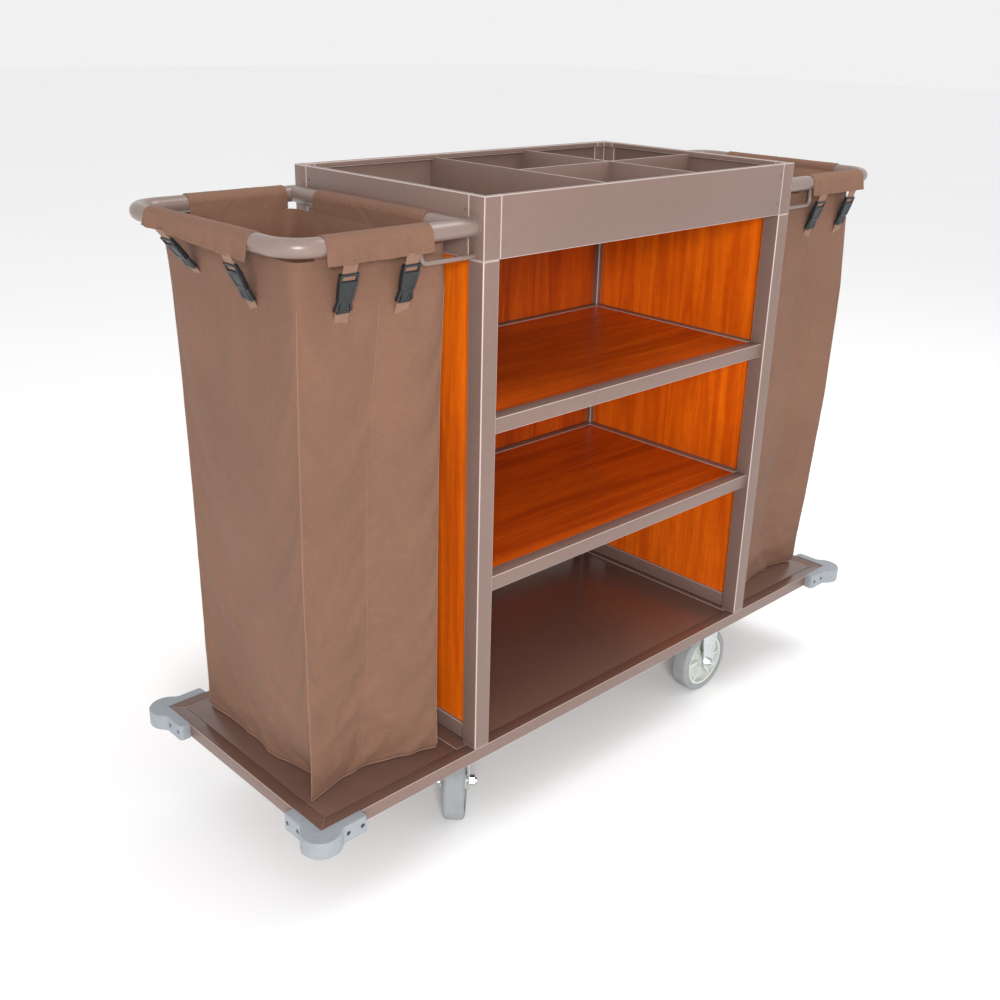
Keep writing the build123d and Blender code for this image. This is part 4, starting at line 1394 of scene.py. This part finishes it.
@dataclass(frozen=True)
class Buckle:
    """A side-release buckle that hangs along Z, from its webbing bar at the start, with its face to -Y."""

    width: float = 0.032
    length: float = 0.062
    depth: float = 0.009
    bar: float = 0.0042

    def build(self) -> bpy.types.Object:
        """Model one buckle: slotted bar, tapered socket, and the prong base with its two side wings."""
        wide, long, deep = self.width, self.length, self.depth
        socket = box_piece("socket", Vector((wide, deep, long * 0.50)), Vector((0, 0, long * 0.43)), 0.0022)
        self.taper(socket, long * 0.60, 0.84)
        self.sink_face(socket, 0.0060, 0.0010)
        pieces = [socket]
        for height in (0.035, 0.985):
            size = Vector((wide if height < 0.5 else wide * 0.74, deep * 0.72, self.bar))
            pieces.append(box_piece("bar", size, Vector((0, 0, long * height)), 0.0014))
        for side in (-1, 1):
            cheek = box_piece(
                "cheek",
                Vector((self.bar, deep * 0.8, long * 0.24)),
                Vector((side * (wide - self.bar) / 2, 0, long * 0.12)),
                0.0014,
            )
            pieces.append(cheek)
            wing = box_piece("wing", Vector((0.0050, deep * 0.7, long * 0.34)), Vector((0, 0, 0)), 0.0016)
            turn = Matrix.Rotation(side * math.radians(-13), 4, "Y")
            shift = Matrix.Translation((side * wide * 0.36, 0, long * 0.80))
            wing.data.transform(shift @ Matrix.Rotation(side * math.radians(26), 4, "Y") @ turn)
            pieces.append(wing)
        size = Vector((wide * 0.52, deep * 0.8, long * 0.34))
        base = box_piece("prong_base", size, Vector((0, 0, long * 0.81)), 0.0018)
        self.sink_face(base, 0.0040, 0.0008)
        pieces.append(base)
        piece = join(pieces, "buckle_pattern")
        smooth(piece, 40)
        return piece

    @staticmethod
    def taper(piece: bpy.types.Object, past: float, share: float) -> None:
        """Narrow the end of a block that lies past a height."""
        for vertex in piece.data.vertices:
            if vertex.co.z > past:
                vertex.co.x *= share

    @staticmethod
    def sink_face(piece: bpy.types.Object, margin: float, depth: float) -> None:
        """Sink a panel into a block's -Y face."""
        activate(piece)
        bpy.ops.object.mode_set(mode="EDIT")
        bpy.ops.mesh.select_all(action="DESELECT")
        bpy.ops.object.mode_set(mode="OBJECT")
        fronts = [face for face in piece.data.polygons if face.normal.y < -0.99]
        face = max(fronts, key=lambda item: item.area)
        face.select = True
        bpy.ops.object.mode_set(mode="EDIT")
        bpy.ops.mesh.select_mode(type="FACE")
        bpy.ops.mesh.inset(thickness=margin * 0.5)
        bpy.ops.mesh.inset(thickness=margin * 0.12, depth=-depth)
        bpy.ops.object.mode_set(mode="OBJECT")


@dataclass(frozen=True)
class Fastenings:
    """The flaps, straps and buckles of one bag."""

    end: End
    finishes: Finishes
    short_width: float = 0.190
    long_width: float = 0.290
    front_shift: float = 0.011
    back_shift: float = 0.040
    short_spread: float = 0.056
    long_spread: float = 0.091
    strap_width: float = 0.025
    strap_thickness: float = 0.0016
    upper_strap: float = 0.014
    lower_strap: float = 0.014
    sewn_end: float = 0.006
    strap_fall: float = 0.075
    overlap: float = 0.016
    drop: float = 0.025
    tube_radius: float = 0.014
    outer: float = 0.0156
    end_slant: float = 0.5
    bag_depth: float = 0.42

    @property
    def side(self) -> str:
        """The end's name, as the nodes have it."""
        return self.end.name.lower()

    def places(self) -> dict[str, tuple[Matrix, float, str]]:
        """Placement, width and tube node of each flap."""
        tube_low, tube_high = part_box(f"bag_tube_{self.side}")
        cross_low, cross_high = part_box("bag_cross_tubes")
        z = tube_high.z - self.tube_radius
        front_y, back_y = tube_low.y + self.tube_radius, tube_high.y - self.tube_radius
        sign = self.end.value
        end_x = (tube_high.x - self.tube_radius) if sign > 0 else (tube_low.x + self.tube_radius)
        tray_x = sign * (cross_high.x - self.tube_radius)
        middle_x = (end_x + tray_x) / 2
        tube, cross = f"bag_tube_{self.side}", "bag_cross_tubes"
        facing = {"front": 0, "back": 180, "end": 90 * sign, "tray": -90 * sign}

        def spot(x: float, y: float, side: str) -> Matrix:
            """A placement with the flap's outside turned the right way."""
            return Matrix.Translation((x, y, z)) @ Matrix.Rotation(math.radians(facing[side]), 4, "Z")

        return {
            "front": (spot(middle_x + sign * self.front_shift, front_y, "front"), self.short_width, tube),
            "back": (spot(middle_x - sign * self.back_shift, back_y, "back"), self.short_width, tube),
            "end": (spot(end_x, 0, "end"), self.long_width, tube),
            "tray": (spot(tray_x, 0, "tray"), self.long_width, cross),
        }

    def line(self, reach: float, drop: float) -> Matrix:
        """From a strap's own Z to its lean from the flap's edge to the bag.

        Args:
            reach: From the tube's axis in to the bag's wall.
            drop: From the tube's axis down to the flap's edge.

        Returns:
            The strap's placement in the flap's own places.
        """
        run = self.upper_strap + Buckle().length + self.lower_strap
        lean = math.asin(min((self.outer + reach) / run, 0.9))
        start = Matrix.Translation((0, -self.outer - 0.001, -drop))
        return start @ Matrix.Rotation(math.pi + lean, 4, "X")

    def reach(self, bag: "Bag", place: Matrix, along: float, height: float) -> float:
        """How far in from a tube's axis the bag's wall lies.

        Args:
            bag: The bag.
            place: The flap's placement.
            along: Where on the flap.
            height: The height at which the strap meets the wall.

        Returns:
            The distance, in metres.
        """
        spot = place @ Vector((along, 0, 0))
        out = (place.to_3x3() @ Vector((0, -1, 0))).normalized()
        side = (place.to_3x3() @ Vector((1, 0, 0))).normalized()
        mirror = -self.end.value
        found = []
        for step in range(400):
            point = bag.wall_point(height, step / 400)
            gap = Vector((point.x * mirror, point.y, spot.z)) - spot
            if gap.dot(out) > -0.12:
                found.append((abs(gap.dot(side)), -gap.dot(out)))
        return min(found)[1]

    def strap(self, name: str, start: float, finish: float) -> bpy.types.Object:
        """A flat webbing strip along the strap's own Z, from one length to another."""

        def place(u: float, v: float) -> Vector:
            """A point of the strip."""
            across = (u - 0.5) * self.strap_width
            along = start + (finish - start) * v
            return Vector((across, 0.0, along))

        piece = wrapped_grid(name, 12, 10, place, (self.strap_width, finish - start))
        modify(piece, "SOLIDIFY", thickness=self.strap_thickness, offset=0.0)
        modify(piece, "BEVEL", width=0.0005, segments=2, limit_method="ANGLE", angle_limit=math.radians(50))
        smooth(piece, 50)
        return piece

    def build(self, bag: Bag) -> None:
        """Make the flaps, then copy a strap set and a buckle to their four places.

        Args:
            bag: The bag that they hold.
        """
        places = self.places()
        flaps: dict[str, Flap] = {}
        for label, (place, width, tube) in places.items():
            flap = Flap(f"bag_flap_{self.side}_{label}", place, width, tube, self.finishes)
            if label == "end":
                insets = bag.end_insets(bag.levels[-1])
                front, back = insets[0][0], insets[3][0]
                slope = -self.end.value * (front - back) / self.bag_depth
                slant = -self.end.value * self.end_slant
                flap = replace(flap, slant=slant, set_in=(front + back) / 2, set_in_slope=slope)
            flaps[label] = flap
            piece = flap.build()
            if label == "front":
                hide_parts(f"bag_flaps_{self.side}")
            log.info("%s: %.0f mm wide", piece.name, width * 1000)
        buckle = Buckle()
        pattern = buckle.build()
        in_bar = self.upper_strap + buckle.length * 0.24
        upper = self.strap("strap_pattern_upper", -self.overlap * 0.2, in_bar)
        lower_start = self.upper_strap + buckle.length * 0.9
        lower_end = self.upper_strap + buckle.length + self.lower_strap + self.sewn_end
        lower = self.strap("strap_pattern_lower", lower_start, lower_end)
        buckles, straps = [], []
        for label, spread in (("front", self.short_spread), ("end", self.long_spread)):
            for sign in (-1, 1):
                flap = flaps[label]
                drop = self.drop * flap.share_of_drop(sign * spread)
                foot = flap.place.translation.z - drop - self.strap_fall
                reach = self.reach(bag, flap.place, sign * spread, foot)
                spot = flap.place @ Matrix.Translation((sign * spread, 0, 0)) @ self.line(reach, drop)
                flip = Matrix.Rotation(math.pi, 4, "Z")
                lift = Matrix.Translation((0, 0, self.upper_strap))
                buckles.append(copy_of(pattern, "buckle", spot @ flip @ lift))
                straps.append(copy_of(upper, "strap", spot))
                straps.append(copy_of(lower, "strap", spot))
        for item in (pattern, upper, lower):
            bpy.data.objects.remove(item)
        made = (
            (join(buckles, f"buckles_{self.side}"), "buckle"),
            (join(straps, f"straps_{self.side}"), "webbing"),
        )
        for piece, finish in made:
            self.finishes.dress(piece, finish)
            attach(piece, "root")
        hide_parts("bag_buckles")
        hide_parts("bag_straps")


# ---------------------------------------------------------------- studio


@dataclass(frozen=True)
class Studio:
    """The pale floor, the soft lights and the camera."""

    eye: Vector = Vector((-1.6155, -1.5277, 1.4358))
    forward: Vector = Vector((0.64523, 0.66096, -0.38317))
    up: Vector = Vector((0.24952, 0.29172, 0.92338))
    lens: float = 41.66

    def build(self) -> None:
        """Set up the studio."""
        self.floor()
        self.lights()
        self.camera()
        bpy.context.scene.view_settings.view_transform = "Standard"

    def floor(self) -> None:
        """A plain pale floor."""
        clear_selection()
        bpy.ops.mesh.primitive_plane_add(size=60.0)
        floor = bpy.context.object
        floor.name = "studio_floor"
        material = bpy.data.materials.new("studio_floor")
        material.use_nodes = True
        sheet = Sheet(material.node_tree)
        shader = material.node_tree.nodes["Principled BSDF"]
        place = sheet.add("ShaderNodeTexCoord").outputs["Object"]
        cloud = sheet.add("ShaderNodeTexNoise", {"Vector": place, "Scale": 0.8})
        colour = sheet.mix(cloud.outputs[0], (0.955, 0.955, 0.955, 1), (0.985, 0.985, 0.985, 1))
        sheet.feed(colour, shader, "Base Color")
        shader.inputs["Roughness"].default_value = 0.9
        floor.data.materials.append(material)

    def lights(self) -> None:
        """A bright world, a large key light and a softer fill."""
        world = bpy.data.worlds.new("studio")
        world.use_nodes = True
        background = world.node_tree.nodes["Background"]
        background.inputs["Color"].default_value = (1.0, 1.0, 1.0, 1.0)
        background.inputs["Strength"].default_value = 0.88
        bpy.context.scene.world = world
        for label, place, power, size in (
            ("key", (-3.1, -3.5, 2.2), 160.0, 1.0),
            ("top", (1.6, -0.8, 3.6), 40.0, 1.6),
        ):
            lamp = bpy.data.lights.new(label, "AREA")
            lamp.energy = power
            lamp.size = size
            holder = bpy.data.objects.new(label, lamp)
            bpy.context.scene.collection.objects.link(holder)
            holder.location = place
            aim = Vector((0, 0, 0.6)) - Vector(place)
            holder.rotation_euler = aim.to_track_quat("-Z", "Y").to_euler()

    def camera(self) -> None:
        """A camera at the stated eye, direction and roll."""
        data = bpy.data.cameras.new("camera")
        data.lens = self.lens
        data.sensor_width = 36.0
        holder = bpy.data.objects.new("camera", data)
        bpy.context.scene.collection.objects.link(holder)
        back = -self.forward.normalized()
        up = (self.up - back * self.up.dot(back)).normalized()
        right = up.cross(back)
        turn = Matrix((right, up, back)).transposed()
        holder.matrix_world = Matrix.Translation(self.eye) @ turn.to_4x4()
        bpy.context.scene.camera = holder


def main() -> None:
    """Build the cart's looks in order."""
    logging.basicConfig(level=logging.INFO, format="%(message)s")
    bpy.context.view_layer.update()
    finishes = Finishes(Effects())
    RigidParts(finishes).build()
    TrayRivets(finishes).build()
    for end in End:
        bag = Bag(end, finishes)
        bag.build()
        Fastenings(end, finishes).build(bag)
    Studio().build()


if __name__ == "__main__":
    main()
